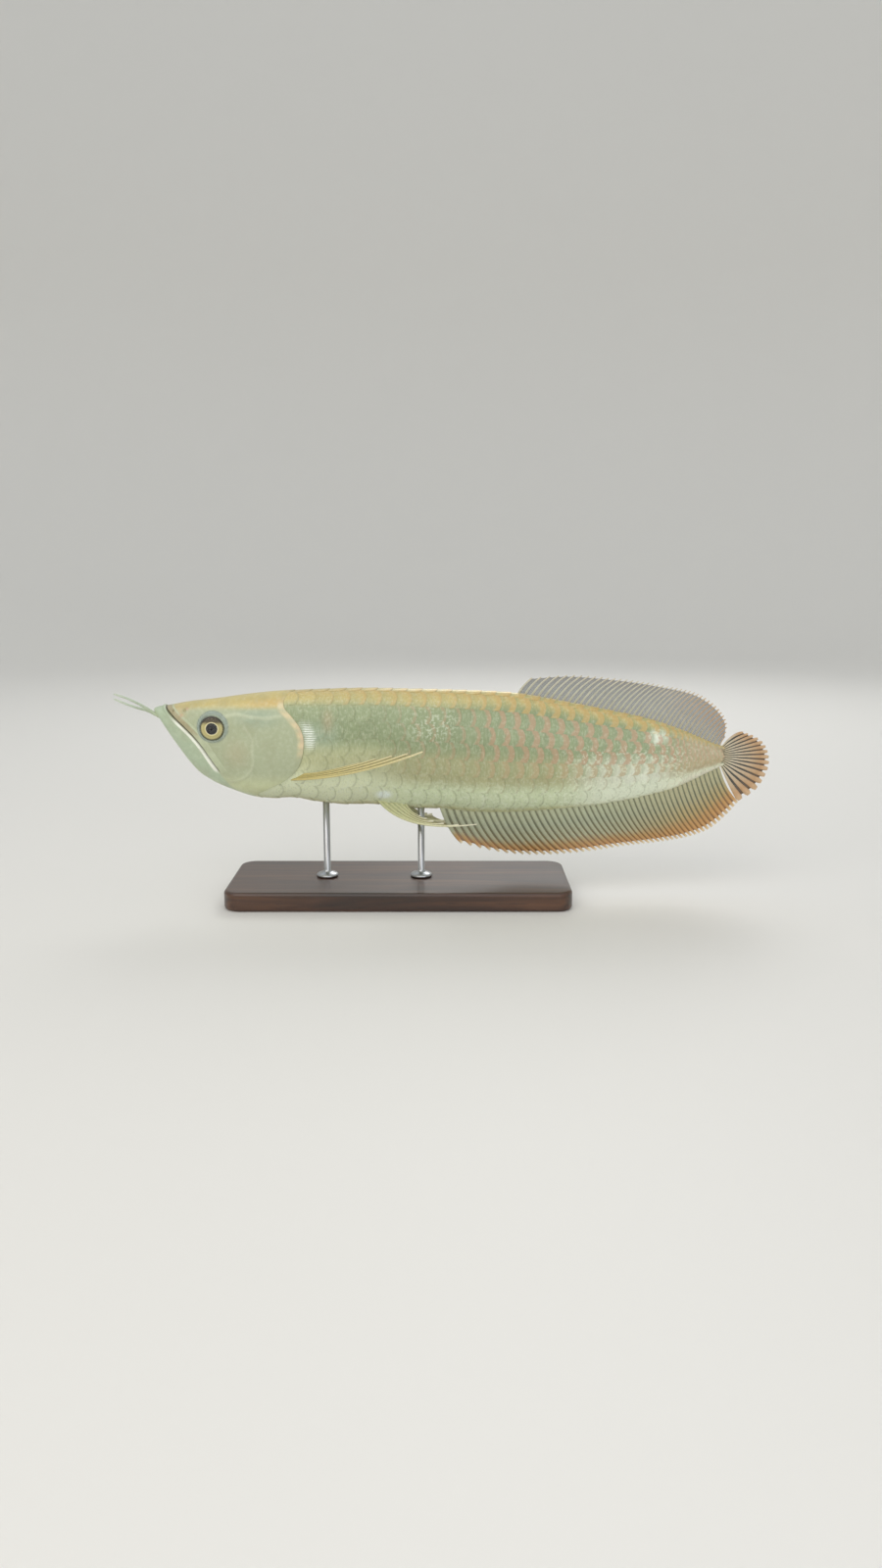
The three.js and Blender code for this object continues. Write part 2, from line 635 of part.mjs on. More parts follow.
function pectoralFin(side) {
  return pairedFin({
    side, count: 7, rows: 6, rootHalf: 1.3,
    roots: [[0, 99.2, 3, -17.8], [1, 107.2, 3, -13.4]],
    bends: [[0, 147, 42.5, -12.2], [0.5, 132, 28.5, -9.4], [1, 120, 20.5, -11]],
    tips: [
      [0, 201.5, 51.6, 10.8], [0.2, 186, 42, 7], [0.45, 165, 31.5, 1.4], [0.7, 146, 25, -4.4],
      [1, 128, 21.6, -10],
    ],
  });
}

function pelvicFin(side) {
  const longer = side > 0 ? 14 : 0; // the right fin trails further back and lower
  return pairedFin({
    side, count: 5, rows: 6, rootHalf: 1.1,
    roots: [[0, 164.5, 1.5, -34.2], [1, 184, 1.5, -36.6]],
    bends: [[0, 184, 9.6, -58.4], [0.5, 192, 9, -52.6], [1, 190, 8.4, -44.4]],
    tips: [
      [0, 239 + longer, 13, -50.2 - longer * 0.8], [0.25, 222 + longer, 11.6, -50.8 - longer * 0.7],
      [0.5, 209, 10.2, -49.4], [0.75, 202, 9.4, -47.2], [1, 196, 8.8, -45.2],
    ],
  });
}

// Barbels: a pair of fleshy feelers from the chin that reach forward and up, the left one higher.
// Each point is [x, out, z], and the root starts inside the chin.
const BARBELS = {
  left: [
    [9.4, 2.6, 26.6], [5.4, 3.4, 28.4], [-0.6, 5, 32.8], [-7.2, 6.8, 37.2], [-15, 8.8, 41.4],
    [-23.6, 11, 44.8],
  ],
  right: [
    [9.4, 2.6, 24.8], [5, 3.4, 26.6], [-4.5, 5.4, 30.8], [-11.6, 6.8, 32.4], [-19.6, 8.6, 34.8],
    [-30, 11, 38.6],
  ],
};
const BARBEL_STEPS = 12;
const BARBEL_ROOT_RADIUS = 1.25;
const BARBEL_TIP_RADIUS = 0.55;
function barbel(side) {
  const marks = side < 0 ? BARBELS.left : BARBELS.right;
  const path = pathThrough(marks.map(([x, out, z]) => [x, side * out, z]), BARBEL_STEPS);
  const taper = (BARBEL_ROOT_RADIUS - BARBEL_TIP_RADIUS) / BARBEL_STEPS;
  return taperedTube(path, path.map((_, i) => BARBEL_ROOT_RADIUS - taper * i), 6);
}

// The stand.
const AXIS_HEIGHT = BASE_HEIGHT + FIN_CLEARANCE - LOWEST_TIP;
function standBase() {
  const x = BASE_LENGTH / 2;
  const y = BASE_WIDTH / 2;
  const r = BASE_CORNER;
  const shape = new THREE.Shape();
  shape.moveTo(-x + r, -y);
  shape.lineTo(x - r, -y);
  shape.absarc(x - r, -y + r, r, -Math.PI / 2, 0);
  shape.lineTo(x, y - r);
  shape.absarc(x - r, y - r, r, 0, Math.PI / 2);
  shape.lineTo(-x + r, y);
  shape.absarc(-x + r, y - r, r, Math.PI / 2, Math.PI);
  shape.lineTo(-x, -y + r);
  shape.absarc(-x + r, -y + r, r, Math.PI, 1.5 * Math.PI);
  const geometry = new THREE.ExtrudeGeometry(shape, {
    depth: BASE_HEIGHT - 2 * BASE_BEVEL,
    bevelThickness: BASE_BEVEL,
    bevelSize: BASE_BEVEL,
    bevelOffset: -BASE_BEVEL,
    bevelSegments: 2,
    curveSegments: 6,
  });
  geometry.translate(0, 0, BASE_BEVEL);
  return solidOf(geometry);
}

// A rod with a round stepped foot, in fish coordinates, trimmed to the belly that it carries.
const FOOT_RADIUS = 8;
const FOOT_HEIGHT = 4;
const ROD_INTO_BELLY = 8;
function standRod(x) {
  const foot = BASE_HEIGHT + GAP - AXIS_HEIGHT;
  const top = belly(x) + ROD_INTO_BELLY;
  const outline = [
    [0, foot],
    [FOOT_RADIUS, foot],
    [FOOT_RADIUS, foot + 0.4 * FOOT_HEIGHT],
    [0.85 * FOOT_RADIUS, foot + 0.65 * FOOT_HEIGHT],
    [ROD_RADIUS, foot + FOOT_HEIGHT],
    [ROD_RADIUS, top],
    [0, top],
  ];
  const geometry = new THREE.LatheGeometry(outline.map(([r, z]) => new THREE.Vector2(r, z)), 18);
  geometry.rotateX(Math.PI / 2);
  geometry.translate(x, 0, 0);
  return solidOf(geometry).subtract(trimBody);
}

// Materials
const paint = (color, roughness, metalness = 0) =>
  new THREE.MeshStandardMaterial({ color, roughness, metalness, flatShading: true });
const skin = paint("#b9bb93", 0.42);
const finSkin = paint("#c9b98a", 0.5);
const barbelSkin = paint("#a9b99a", 0.5);
const eyeGlass = paint("#5a5636", 0.12);
const darkWood = paint("#3b2619", 0.45);
const steel = paint("#a7a9ab", 0.3, 1);

const fish = new THREE.Group();
function place(name, solid, material, bent = true) {
  const mesh = new THREE.Mesh(geometryOf(solid, bent), material);
  mesh.geometry.computeVertexNormals();
  mesh.name = name;
  fish.add(mesh);
}

place("head", head, skin);
place("lower_jaw", lowerJaw, skin);
place("trunk", trunk, skin);
place("tail", tail, skin);
place("dorsal_fin", dorsalFin.subtract(trimBody), finSkin);
place("anal_fin", analFin.subtract(trimBody), finSkin);
place("caudal_fin", caudalFin().subtract(ahead(PEDUNCLE_END + GAP)), finSkin);
for (const [name, side] of [["left", -1], ["right", 1]]) {
  place("eye_" + name, eyeBall(side), eyeGlass);
  place("barbel_" + name, barbel(side).subtract(trimBody), barbelSkin);
  place("pectoral_fin_" + name, pectoralFin(side).subtract(trimBody).subtract(headSpace), finSkin);
  place("pelvic_fin_" + name, pelvicFin(side).subtract(trimBody), finSkin);
}
place("stand_rod_front", standRod(ROD_FRONT), steel);
place("stand_rod_rear", standRod(ROD_REAR), steel);
fish.position.set(-BASE_CENTRE, 0, AXIS_HEIGHT);

const model = new THREE.Group();
model.add(fish);
const base = new THREE.Mesh(geometryOf(standBase(), false), darkWood);
base.geometry.computeVertexNormals();
base.name = "stand_base";
model.add(base);

export default model;
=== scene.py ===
"""Looks of a life-size silver arowana display model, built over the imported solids.

The fish's surfaces come from the same named sizes as the solids: x runs from the chin tip to the
tail, z from the long axis, both in millimetres, and to_frame() turns them into the shared frame.
One skin covers head, jaw, trunk and tail. Scales, fin rays and fin membranes are solid meshes.
"""

import logging
import math
from dataclasses import dataclass, field
from enum import Enum
from typing import Callable, Optional

import bpy
import numpy as np
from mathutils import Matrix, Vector

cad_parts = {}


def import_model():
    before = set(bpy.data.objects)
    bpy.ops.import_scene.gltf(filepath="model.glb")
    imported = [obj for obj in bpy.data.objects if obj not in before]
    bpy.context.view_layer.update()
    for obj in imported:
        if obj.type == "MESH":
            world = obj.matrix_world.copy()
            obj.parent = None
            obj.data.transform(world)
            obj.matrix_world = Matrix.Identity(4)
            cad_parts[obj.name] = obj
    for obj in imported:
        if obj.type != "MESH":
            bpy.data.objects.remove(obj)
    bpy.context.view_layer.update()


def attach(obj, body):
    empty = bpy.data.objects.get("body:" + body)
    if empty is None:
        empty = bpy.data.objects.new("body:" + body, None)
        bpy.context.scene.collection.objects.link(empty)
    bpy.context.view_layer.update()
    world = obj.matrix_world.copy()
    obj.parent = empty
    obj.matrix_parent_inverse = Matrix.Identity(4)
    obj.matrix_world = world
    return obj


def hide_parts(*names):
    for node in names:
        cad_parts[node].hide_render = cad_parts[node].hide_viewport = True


logging.basicConfig(level=logging.INFO, format="%(message)s")
log = logging.getLogger("arowana")

MM = 0.001
BASE_CENTRE = 180.0
AXIS_HEIGHT = 107.0
CHIN = 2.6
PEDUNCLE_END = 419.0
SWING = 9.0
SWING_START = 190.0
SWING_LENGTH = 260.0
TINY = 1e-9


class Side(Enum):
    """The fish's left side faces the camera, along -Y."""

    LEFT = -1
    RIGHT = 1


class Curve:
    """A smooth curve through points (t, value) that runs on straight past its ends."""

    def __init__(self, *points: tuple[float, float]) -> None:
        """Keeps the points and works out the slope at each.

        Args:
            points: (t, value) pairs in rising order of t.
        """
        self.t = np.array([p[0] for p in points], float)
        self.v = np.array([p[1] for p in points], float)
        step = np.diff(self.t)
        chord = np.diff(self.v) / step
        inner = (step[1:] * chord[:-1] + step[:-1] * chord[1:]) / (step[1:] + step[:-1])
        self.slope = np.concatenate([chord[:1], inner, chord[-1:]])

    def __call__(self, t: np.ndarray) -> np.ndarray:
        """The curve's values.

        Args:
            t: where to read it, a number or an array.

        Returns:
            An array of the shape of t.
        """
        t = np.asarray(t, float)
        i = np.clip(np.searchsorted(self.t, t, side="right") - 1, 0, len(self.t) - 2)
        h = self.t[i + 1] - self.t[i]
        s = np.clip((t - self.t[i]) / h, 0, 1)
        inside = (
            self.v[i] * (2 * s**3 - 3 * s**2 + 1)
            + h * self.slope[i] * (s**3 - 2 * s**2 + s)
            + self.v[i + 1] * (3 * s**2 - 2 * s**3)
            + h * self.slope[i + 1] * (s**3 - s**2)
        )
        before = np.minimum(t - self.t[0], 0) * self.slope[0]
        after = np.maximum(t - self.t[-1], 0) * self.slope[-1]
        return inside + before + after


def ease(value: np.ndarray) -> np.ndarray:
    """A smooth step from 0 at 0 to 1 at 1."""
    t = np.clip(value, 0, 1)
    return t * t * (3 - 2 * t)


def bump(value: np.ndarray) -> np.ndarray:
    """A rounded hump that is 1 at 0 and fades to 0 at -1 and 1."""
    return (1 - np.clip(np.abs(value), 0, 1) ** 2) ** 2


def spot(x: np.ndarray, z: np.ndarray, centre: tuple, reach: tuple) -> np.ndarray:
    """A rounded patch of the side view that is 1 at its centre and 0 past its reach in x and z."""
    return bump(np.hypot((x - centre[0]) / reach[0], (z - centre[1]) / reach[1]))


def band(value: np.ndarray, low: float, high: float, soft: float) -> np.ndarray:
    """1 between low and high, easing to 0 over the distance soft outside them."""
    return ease((value - low) / soft + 1) * ease((high - value) / soft + 1)


def to_frame(points: np.ndarray) -> np.ndarray:
    """Fish coordinates in millimetres to the shared frame in metres, with the tail's swing.

    Args:
        points: an (n, 3) array.

    Returns:
        An (n, 3) array in metres.
    """
    points = np.asarray(points, float)
    swing = SWING * (np.maximum(points[:, 0] - SWING_START, 0) / SWING_LENGTH) ** 2
    along = np.full(len(points), -BASE_CENTRE)
    up = np.full(len(points), AXIS_HEIGHT)
    return (points + np.stack([along, swing, up], 1)) * MM


@dataclass
class BodyForm:
    """The body without its fins: side outline, widths and section shapes, all along x."""

    back: Curve = field(default_factory=lambda: Curve(
        (2.6, 33.4), (6, 34.6), (13, 35.5), (27, 38), (47, 40.3), (68, 43.2), (88, 45.4), (124, 47.2),
        (155, 48), (190, 47.4), (230, 46.4), (266, 44.2), (296, 38.9), (332, 31.8), (365, 24.3),
        (383, 18.3), (400, 11.4), (412, 6.2), (419, 4.1)))
    belly: Curve = field(default_factory=lambda: Curve(
        (2.6, 31.6), (6, 26.6), (10.7, 18.6), (20.2, 3.8), (27.3, -6.4), (33.4, -13.5), (41.5, -19.3),
        (58, -27), (76, -32.6), (88, -33.6), (102, -33), (118, -35.8), (136, -37.9), (163, -38),
        (190, -41.2), (209, -41.2), (234, -43.8), (252, -44.3), (270, -43.8), (296, -42), (332, -38.2),
        (363, -32.4), (383, -27), (397, -21), (408, -15.6), (419, -10.4)))
    half_width: Curve = field(default_factory=lambda: Curve(
        (2.6, 2.6), (4, 4.6), (6, 6.2), (10, 8.2), (20, 11.2), (30, 12.8), (42, 14.2), (60, 15.8),
        (80, 17), (100, 17.6), (130, 18.2), (165, 18.2), (200, 17.4), (240, 15.8), (280, 13.6),
        (320, 10.8), (350, 8.4), (380, 5.8), (400, 4.3), (419, 3.2)))
    widest: Curve = field(default_factory=lambda: Curve(
        (2.6, 0.5), (20, 0.58), (42, 0.55), (80, 0.52), (110, 0.56), (160, 0.62), (240, 0.62),
        (320, 0.56), (400, 0.5), (419, 0.5)))
    roof: Curve = field(default_factory=lambda: Curve(
        (2.6, 2.1), (20, 2.7), (60, 2.9), (100, 2.6), (160, 2.2), (260, 2), (419, 1.9)))
    keel: Curve = field(default_factory=lambda: Curve(
        (2.6, 2), (30, 1.8), (90, 1.75), (150, 1.5), (240, 1.55), (330, 1.7), (419, 1.8)))
    step: float = 0.5
    past_end: float = 6.0
    shares: int = 193
    arc_points: int = 321

    def __post_init__(self) -> None:
        """Tabulates the section's points and outward directions for every station and share."""
        self.x = np.arange(CHIN, PEDUNCLE_END + self.past_end, self.step)
        share = np.linspace(0, 1, self.shares)
        self.y_table = np.zeros((len(self.x), self.shares))
        self.z_table = np.zeros_like(self.y_table)
        for i, x in enumerate(self.x):
            y, z, length = self.section(x)
            self.y_table[i] = np.interp(share, length, y)
            self.z_table[i] = np.interp(share, length, z)
        run_y = np.gradient(self.y_table, axis=1)
        run_z = np.gradient(self.z_table, axis=1)
        size = np.maximum(np.hypot(run_y, run_z), TINY)
        self.normal_y = -run_z / size
        self.normal_z = run_y / size

    def section(self, x: float) -> tuple[np.ndarray, np.ndarray, np.ndarray]:
        """One side of the section at x.

        Args:
            x: the station.

        Returns:
            y and z from back to belly, and the share of the skin's length at each point.
        """
        top, bottom = self.back(x), self.belly(x)
        centre = bottom + self.widest(x) * (top - bottom)
        angle = np.linspace(math.pi / 2, -math.pi / 2, self.arc_points)
        above = angle > 0
        power = 2 / np.where(above, self.roof(x), self.keel(x))
        y = self.half_width(x) * np.abs(np.cos(angle)) ** power
        z = centre + np.where(above, top - centre, bottom - centre) * np.abs(np.sin(angle)) ** power
        y[0] = y[-1] = 0
        length = np.concatenate([[0], np.cumsum(np.hypot(np.diff(y), np.diff(z)))])
        return y, z, length / length[-1]

    def width_at(self, x: np.ndarray, z: np.ndarray) -> np.ndarray:
        """Half the body's width at points of its side view, or 0 outside it."""
        top, bottom = self.back(x), self.belly(x)
        centre = bottom + self.widest(x) * (top - bottom)
        above = z > centre
        share = np.where(above, (z - centre) / (top - centre), (centre - z) / (centre - bottom))
        power = np.where(above, self.roof(x), self.keel(x))
        inside = np.clip(1 - np.clip(share, 0, 1) ** power, 0, 1)
        return self.half_width(x) * inside ** (1 / power)

    def surface(self, x: np.ndarray, girth: np.ndarray, lift: np.ndarray) -> np.ndarray:
        """Points over the skin.

        Args:
            x: stations.
            girth: 0 at the back, 1 at the belly and 2 at the back again, first down the left side.
            lift: millimetres out from the skin.

        Returns:
            An array of the inputs' shape with one more axis for x, y and z.
        """
        side = np.where(np.mod(girth, 2) <= 1, -1.0, 1.0)
        share = half_share(girth)
        row = np.clip((x - CHIN) / self.step, 0, len(self.x) - 1.001)
        column = np.clip(share * (self.shares - 1), 0, self.shares - 1.001)
        i, j = row.astype(int), column.astype(int)
        p, q = row - i, column - j

        def read(table: np.ndarray) -> np.ndarray:
            """The table between its stations and shares."""
            near = table[i, j] * (1 - q) + table[i, j + 1] * q
            far = table[i + 1, j] * (1 - q) + table[i + 1, j + 1] * q
            return near * (1 - p) + far * p

        y = read(self.y_table) + lift * read(self.normal_y)
        z = read(self.z_table) + lift * read(self.normal_z)
        return np.stack([x + 0 * y, side * y, z], -1)


FORM = BodyForm()
GILL_MARGIN = Curve(
    (-50, 66), (-36, 72), (-29, 77), (-25.5, 83), (-18.3, 97), (-12.2, 104.6), (-4.3, 109.6), (5, 112),
    (14, 112.2), (21.6, 109.6), (29.5, 103.6), (35, 98.8), (39, 98), (44, 100.4), (60, 110))
MOUTH_LINE = Curve(
    (-50, 75), (-24, 58.4), (-14, 51.4), (-8, 47.4), (-0.8, 43), (7.3, 38), (14.3, 32.4), (21.2, 25.6),
    (26.9, 19.6), (35, 12.2), (37.4, 10.6), (60, 9.6))
MOUTH_CORNER = -12.0


@dataclass(frozen=True)
class EyePlace:
    """Where the eyes sit, and their sizes. The ball sits a little low and forward in its ring."""

    x: float = 47.2
    z: float = 21.4
    ring: float = 11.1
    ball_x: float = 46.6
    ball_z: float = 20.1
    ball: float = 8.5
    pupil: float = 4.2
    bulge: float = 1.9

    def from_ring(self, x: np.ndarray, z: np.ndarray) -> np.ndarray:
        """How far points of the side view are from the ring's centre."""
        return np.hypot(x - self.x, z - self.z)

    def from_ball(self, x: np.ndarray, z: np.ndarray) -> np.ndarray:
        """How far points of the side view are from the ball's centre."""
        return np.hypot(x - self.ball_x, z - self.ball_z)


EYE = EyePlace()
NOSTRILS = ((18.5, 32.4, 0.9), (26.5, 32.8, 1.1))
NOSTRIL_BUMPS = ((24.6, 29.2, 1.3), (28.6, 33.8, 1.2))
CHEEK_RIDGE = ((75.4, 4), (76, -3), (74.4, -9), (70, -15), (63, -18.6), (57, -19.6))
TEMPLE_LINE = ((57, 29), (64, 30.5), (74, 28.5), (86, 27.5), (96, 29))
COVER_SUTURE = ((70, 22), (76, 12), (75.4, 4))
# Where a painted highlight, a small white glint, sits on the rear flank.
GLINT_SPOT = (369, 12)


def linear(colour: str) -> np.ndarray:
    """An sRGB hex colour as linear red, green and blue.

    Args:
        colour: six hex digits after a hash.

    Returns:
        Three numbers from 0 to 1.
    """
    srgb = np.array([int(colour[i:i + 2], 16) / 255 for i in (1, 3, 5)])
    return np.where(srgb <= 0.04045, srgb / 12.92, ((srgb + 0.055) / 1.055) ** 2.4)


def rgba(colour: str) -> tuple[float, float, float, float]:
    """An sRGB hex colour as a linear colour for a socket."""
    return (*linear(colour), 1.0)


@dataclass(frozen=True)
class Markings:
    """The colours of skin and scales, by place on the fish.

    body() and head() lay tints over each other, each with a weight. The numbers in a weight are
    its strength and its place and reach, in millimetres or as a share of the way round the body.
    """

    gold: str = "#CDBC7C"
    deep_gold: str = "#D3AE68"
    green: str = "#909D77"
    flank: str = "#AFAE83"
    belly: str = "#D2DEB8"
    # pearly white, also used for painted sheen and a painted glint on the flank
    pearl: str = "#E9EEDF"
    tan: str = "#B9A685"
    pale_tan: str = "#E6E1CC"
    shoulder_blue: str = "#9DAE96"
    snout: str = "#CDB88A"
    cheek: str = "#B0B897"
    blue_green: str = "#A2B29B"
    low_green: str = "#CFD5A8"
    low_belly: str = "#E9F0CC"
    jaw: str = "#B3C3A6"
    jaw_rim: str = "#C6D2B0"
    maxilla: str = "#BFC8A6"
    maxilla_tan: str = "#A5936F"
    lip: str = "#FAFCEE"
    # the colour of the painted shade in the mouth's cleft
    cleft_shade: str = "#5A5443"
    orbit: str = "#94A39A"
    # the dark line round the eye's ring, also used as painted shade in the socket round the eyeball
    orbit_line_and_shade: str = "#606C60"
    # pale lines of the head, partly the bones' pale colour and partly painted highlight
    pale_line_and_highlight: str = "#CCD2B4"
    gill_edge: str = "#E0D0A6"
    gill_pink: str = "#E2C2A6"
    # the rose tint of the nostril bumps and cheek, also used for a painted reflection on the shoulder
    rose_and_reflection: str = "#C79A78"
    # the near-white colour of a painted glint
    glint_highlight: str = "#F4FFF6"

    def body(self, x: np.ndarray, girth: np.ndarray) -> np.ndarray:
        """Colours of trunk and tail.

        Args:
            x: stations.
            girth: places round the body, as BodyForm.surface has them.

        Returns:
            Linear colours with a last axis of three.
        """
        share = half_share(girth)
        z = FORM.surface(x, girth, 0 * x)[..., 2]
        rear = ease((x - 362) / 40)
        gold = np.zeros(np.shape(share) + (3,)) + linear(self.gold)
        return lay_over(gold, [
            (self.deep_gold, 0.35 * bump((share - 0.06) / 0.07)),
            (self.green, ease((share - 0.12 + 0.04 * ease((x - 200) / 90)) / 0.1)),
            (self.shoulder_blue, 0.8 * bump((x - 124) / 22) * bump((z - 12) / 22)),
            (self.flank, ease((share - 0.46) / 0.14)),
            (self.belly, ease((share - 0.7) / 0.13)),
            (self.low_green, 0.5 * ease((share - 0.42) / 0.12) * ease((190 - x) / 40)),
            # partly painted light: the front of the belly, low down, is painted lighter than the
            # belly's pale colour to brighten its downward face
            (self.low_belly, ease((share - 0.6) / 0.18) * ease((200 - x) / 60)),
            (self.gold, 0.5 * bump((share - 0.985) / 0.05)),
            # partly painted sheen: the pale patch low on the rear flank is partly the scales' pearly
            # colour and partly a painted reflection
            (self.pearl, 0.6 * band(x, 334, 366, 42) * band(z, -40, -10, 14)),
            (self.pearl, 0.5 * spot(x, z, (356, -16), (30, 9))),
            (self.tan, 0.9 * rear * ease((0.86 - share) / 0.16)),
            (self.pale_tan, 0.9 * rear * ease((share - 0.7) / 0.2)),
            (self.gold, 0.7 * rear * ease((0.14 - share) / 0.08)),
            # painted highlight: a small white glint on the rear flank
            (self.pearl, spot(x, z, GLINT_SPOT, (11, 8))),
            # painted reflection: a small pink patch high on the shoulder
            (self.rose_and_reflection, 0.3 * spot(x, z, (130, 26), (6, 13))),
            # painted highlight: a bright glint low on the mid flank
            (self.glint_highlight, 1.6 * spot(x, z, (169, -29.5), (8, 4.5))),
        ])

    def head(self, x: np.ndarray, z: np.ndarray) -> np.ndarray:
        """Colours of the head, by its side view.

        Args:
            x: stations.
            z: levels.

        Returns:
            Linear colours with a last axis of three.
        """
        bumps = [
            (self.rose_and_reflection, 0.7 * spot(x, z, (place_x, place_z), (radius + 0.8, radius + 0.8)))
            for place_x, place_z, radius in NOSTRIL_BUMPS]
        cheek = np.zeros(np.shape(x) + (3,)) + linear(self.cheek)
        return lay_over(cheek, self.head_layers(x, z) + bumps)

    def head_layers(self, x: np.ndarray, z: np.ndarray) -> list:
        """The (tint, weight) layers over the cheek's colour, from the lowest to the topmost."""
        below_back = FORM.back(x) - z
        above_belly = z - FORM.belly(x)
        mouth = seam_distance(MOUTH_LINE, x, z)
        gill = seam_distance(GILL_MARGIN, x, z)
        lips = ease((z - MOUTH_CORNER + 2) / 4)
        behind = (mouth > 0).astype(float)
        ring = EYE.from_ring(x, z)
        ball = EYE.from_ball(x, z)
        top_band = 7.0 + 6.0 * ease((x - 30) / 65)
        deep_line = bump((below_back - 0.55 * top_band) / 5)
        edge_band = (0.75 + 0.25 * np.sin(z * 0.9)) * band(gill, -2.6, 0.4, 2.6) * ease((44 - z) / 8)
        return [
            (self.blue_green, 0.8 * spot(x, z, (80, 28), (24, 11))),
            (self.rose_and_reflection, 0.16 * spot(x, z, (64, 2), (14, 16))),
            (self.low_green, 0.9 * ease((-10 - z) / 16)),
            (self.jaw, ease((-0.4 - mouth) / 0.8)),
            (self.jaw_rim, 0.7 * ease((5 - above_belly) / 5)),
            (self.gold, ease((top_band - below_back) / 5) * behind),
            (self.deep_gold, 0.5 * deep_line * ease((x - 60) / 30) * behind),
            (self.snout, 0.8 * spot(x, z, (19, 31), (13, 8)) * behind),
            (self.maxilla, 0.85 * band(mouth, 0.8, 5.0, 0.8) * lips),
            (self.maxilla_tan, 0.75 * band(mouth, 0.6, 3.6, 0.8) * ease((z - 10) / 10)),
            # pale lines along the temple, the gill-cover suture and the cheek ridge: partly the bones'
            # pale colour and partly painted highlight along them
            (self.pale_line_and_highlight, 0.6 * bump(path_distance(TEMPLE_LINE, x, z) / 2.2)),
            (self.pale_line_and_highlight, 0.45 * bump(path_distance(COVER_SUTURE, x, z) / 1.6)),
            (self.pale_line_and_highlight, 0.5 * bump(path_distance(CHEEK_RIDGE, x, z) / 1.4)),
            (self.gill_edge, edge_band * ease((z + 5) / 13)),
            (self.gill_pink, 0.4 * band(gill, -1.4, 0.4, 1.2) * bump((z - 14) / 17)),
            (self.orbit, 0.9 * band(ring, EYE.ball, EYE.ring, 0.8)),
            (self.orbit_line_and_shade, 0.5 * bump((ring - EYE.ring) / 0.6)),
            (self.lip, band(mouth, -2.5, -0.6, 0.5) * lips * ease((30 - z) / 8)),
            # painted shade: a dark line along the mouth's sunk cleft
            (self.cleft_shade, bump(mouth / 0.8) * lips),
            # painted shade: the skin in the sunk socket round the eyeball is painted dark
            (self.orbit_line_and_shade, ease((EYE.ball + 0.6 - ball) / 0.5)),
        ]


def half_share(girth: np.ndarray) -> np.ndarray:
    """Places round the body as 0 at the back to 1 at the belly, the same on both sides."""
    turned = np.mod(girth, 2)
    return np.where(turned <= 1, turned, 2 - turned)


def mix(colour: np.ndarray, tint: np.ndarray, weight: np.ndarray) -> np.ndarray:
    """colour with tint laid over it by weight."""
    weight = np.clip(weight, 0, 1)[..., None]
    return colour * (1 - weight) + tint * weight


def lay_over(colour: np.ndarray, layers: list) -> np.ndarray:
    """colour with each (hex tint, weight) of layers laid over it in turn."""
    for tint, weight in layers:
        colour = mix(colour, linear(tint), weight)
    return colour


def seam_distance(line: Curve, x: np.ndarray, z: np.ndarray) -> np.ndarray:
    """How far points of the side view lie behind a line x = line(z), square to it.

    Args:
        line: the seam.
        x: stations.
        z: levels.

    Returns:
        Distances in millimetres, negative ahead of the seam.
    """
    slope = line(z + 0.5) - line(z - 0.5)
    return (x - line(z)) / np.sqrt(1 + slope**2)


def path_distance(path: tuple, x: np.ndarray, z: np.ndarray) -> np.ndarray:
    """How far points of the side view are from a line of straight stretches."""
    best = np.full(np.shape(x), np.inf)
    for (x0, z0), (x1, z1) in zip(path, path[1:]):
        run = np.array([x1 - x0, z1 - z0])
        t = np.clip(((x - x0) * run[0] + (z - z0) * run[1]) / (run @ run), 0, 1)
        best = np.minimum(best, np.hypot(x - x0 - t * run[0], z - z0 - t * run[1]))
    return best


MARKINGS = Markings()


@dataclass
class MeshParts:
    """Points in fish coordinates, faces, and what each point or corner carries."""

    points: np.ndarray
    faces: list
    colours: Optional[np.ndarray] = None
    scalars: dict = field(default_factory=dict)
    uvs: dict = field(default_factory=dict)


def make_piece(name: str, parts: MeshParts, material: bpy.types.Material, smooth: bool = True,
               in_frame: bool = False) -> bpy.types.Object:
    """A mesh object in the shared frame.

    Args:
        name: the piece's name.
        parts: its points, faces and attributes; uvs are per point.
        material: its finish.
        smooth: whether its faces are shaded smooth.
        in_frame: whether the points are already in metres in the shared frame.

    Returns:
        The new object, linked to the scene.
    """
    mesh = bpy.data.meshes.new(name)
    points = parts.points if in_frame else to_frame(parts.points)
    mesh.from_pydata(points.tolist(), [], [tuple(face) for face in parts.faces])
    corners = np.zeros(len(mesh.loops), int)
    mesh.loops.foreach_get("vertex_index", corners)
    if parts.colours is not None:
        layer = mesh.attributes.new("markings", "FLOAT_COLOR", "POINT")
        opaque = np.ones((len(points), 1))
        layer.data.foreach_set("color", np.concatenate([parts.colours, opaque], 1).ravel())
    for key, values in parts.scalars.items():
        layer = mesh.attributes.new(key, "FLOAT", "POINT")
        layer.data.foreach_set("value", np.asarray(values, np.float32))
    for key, values in parts.uvs.items():
        layer = mesh.uv_layers.new(name=key)
        layer.data.foreach_set("uv", np.asarray(values, np.float32)[corners].ravel())
    mesh.polygons.foreach_set("use_smooth", [smooth] * len(mesh.polygons))
    mesh.materials.append(material)
    mesh.validate()
    piece = bpy.data.objects.new(name, mesh)
    bpy.context.scene.collection.objects.link(piece)
    return piece


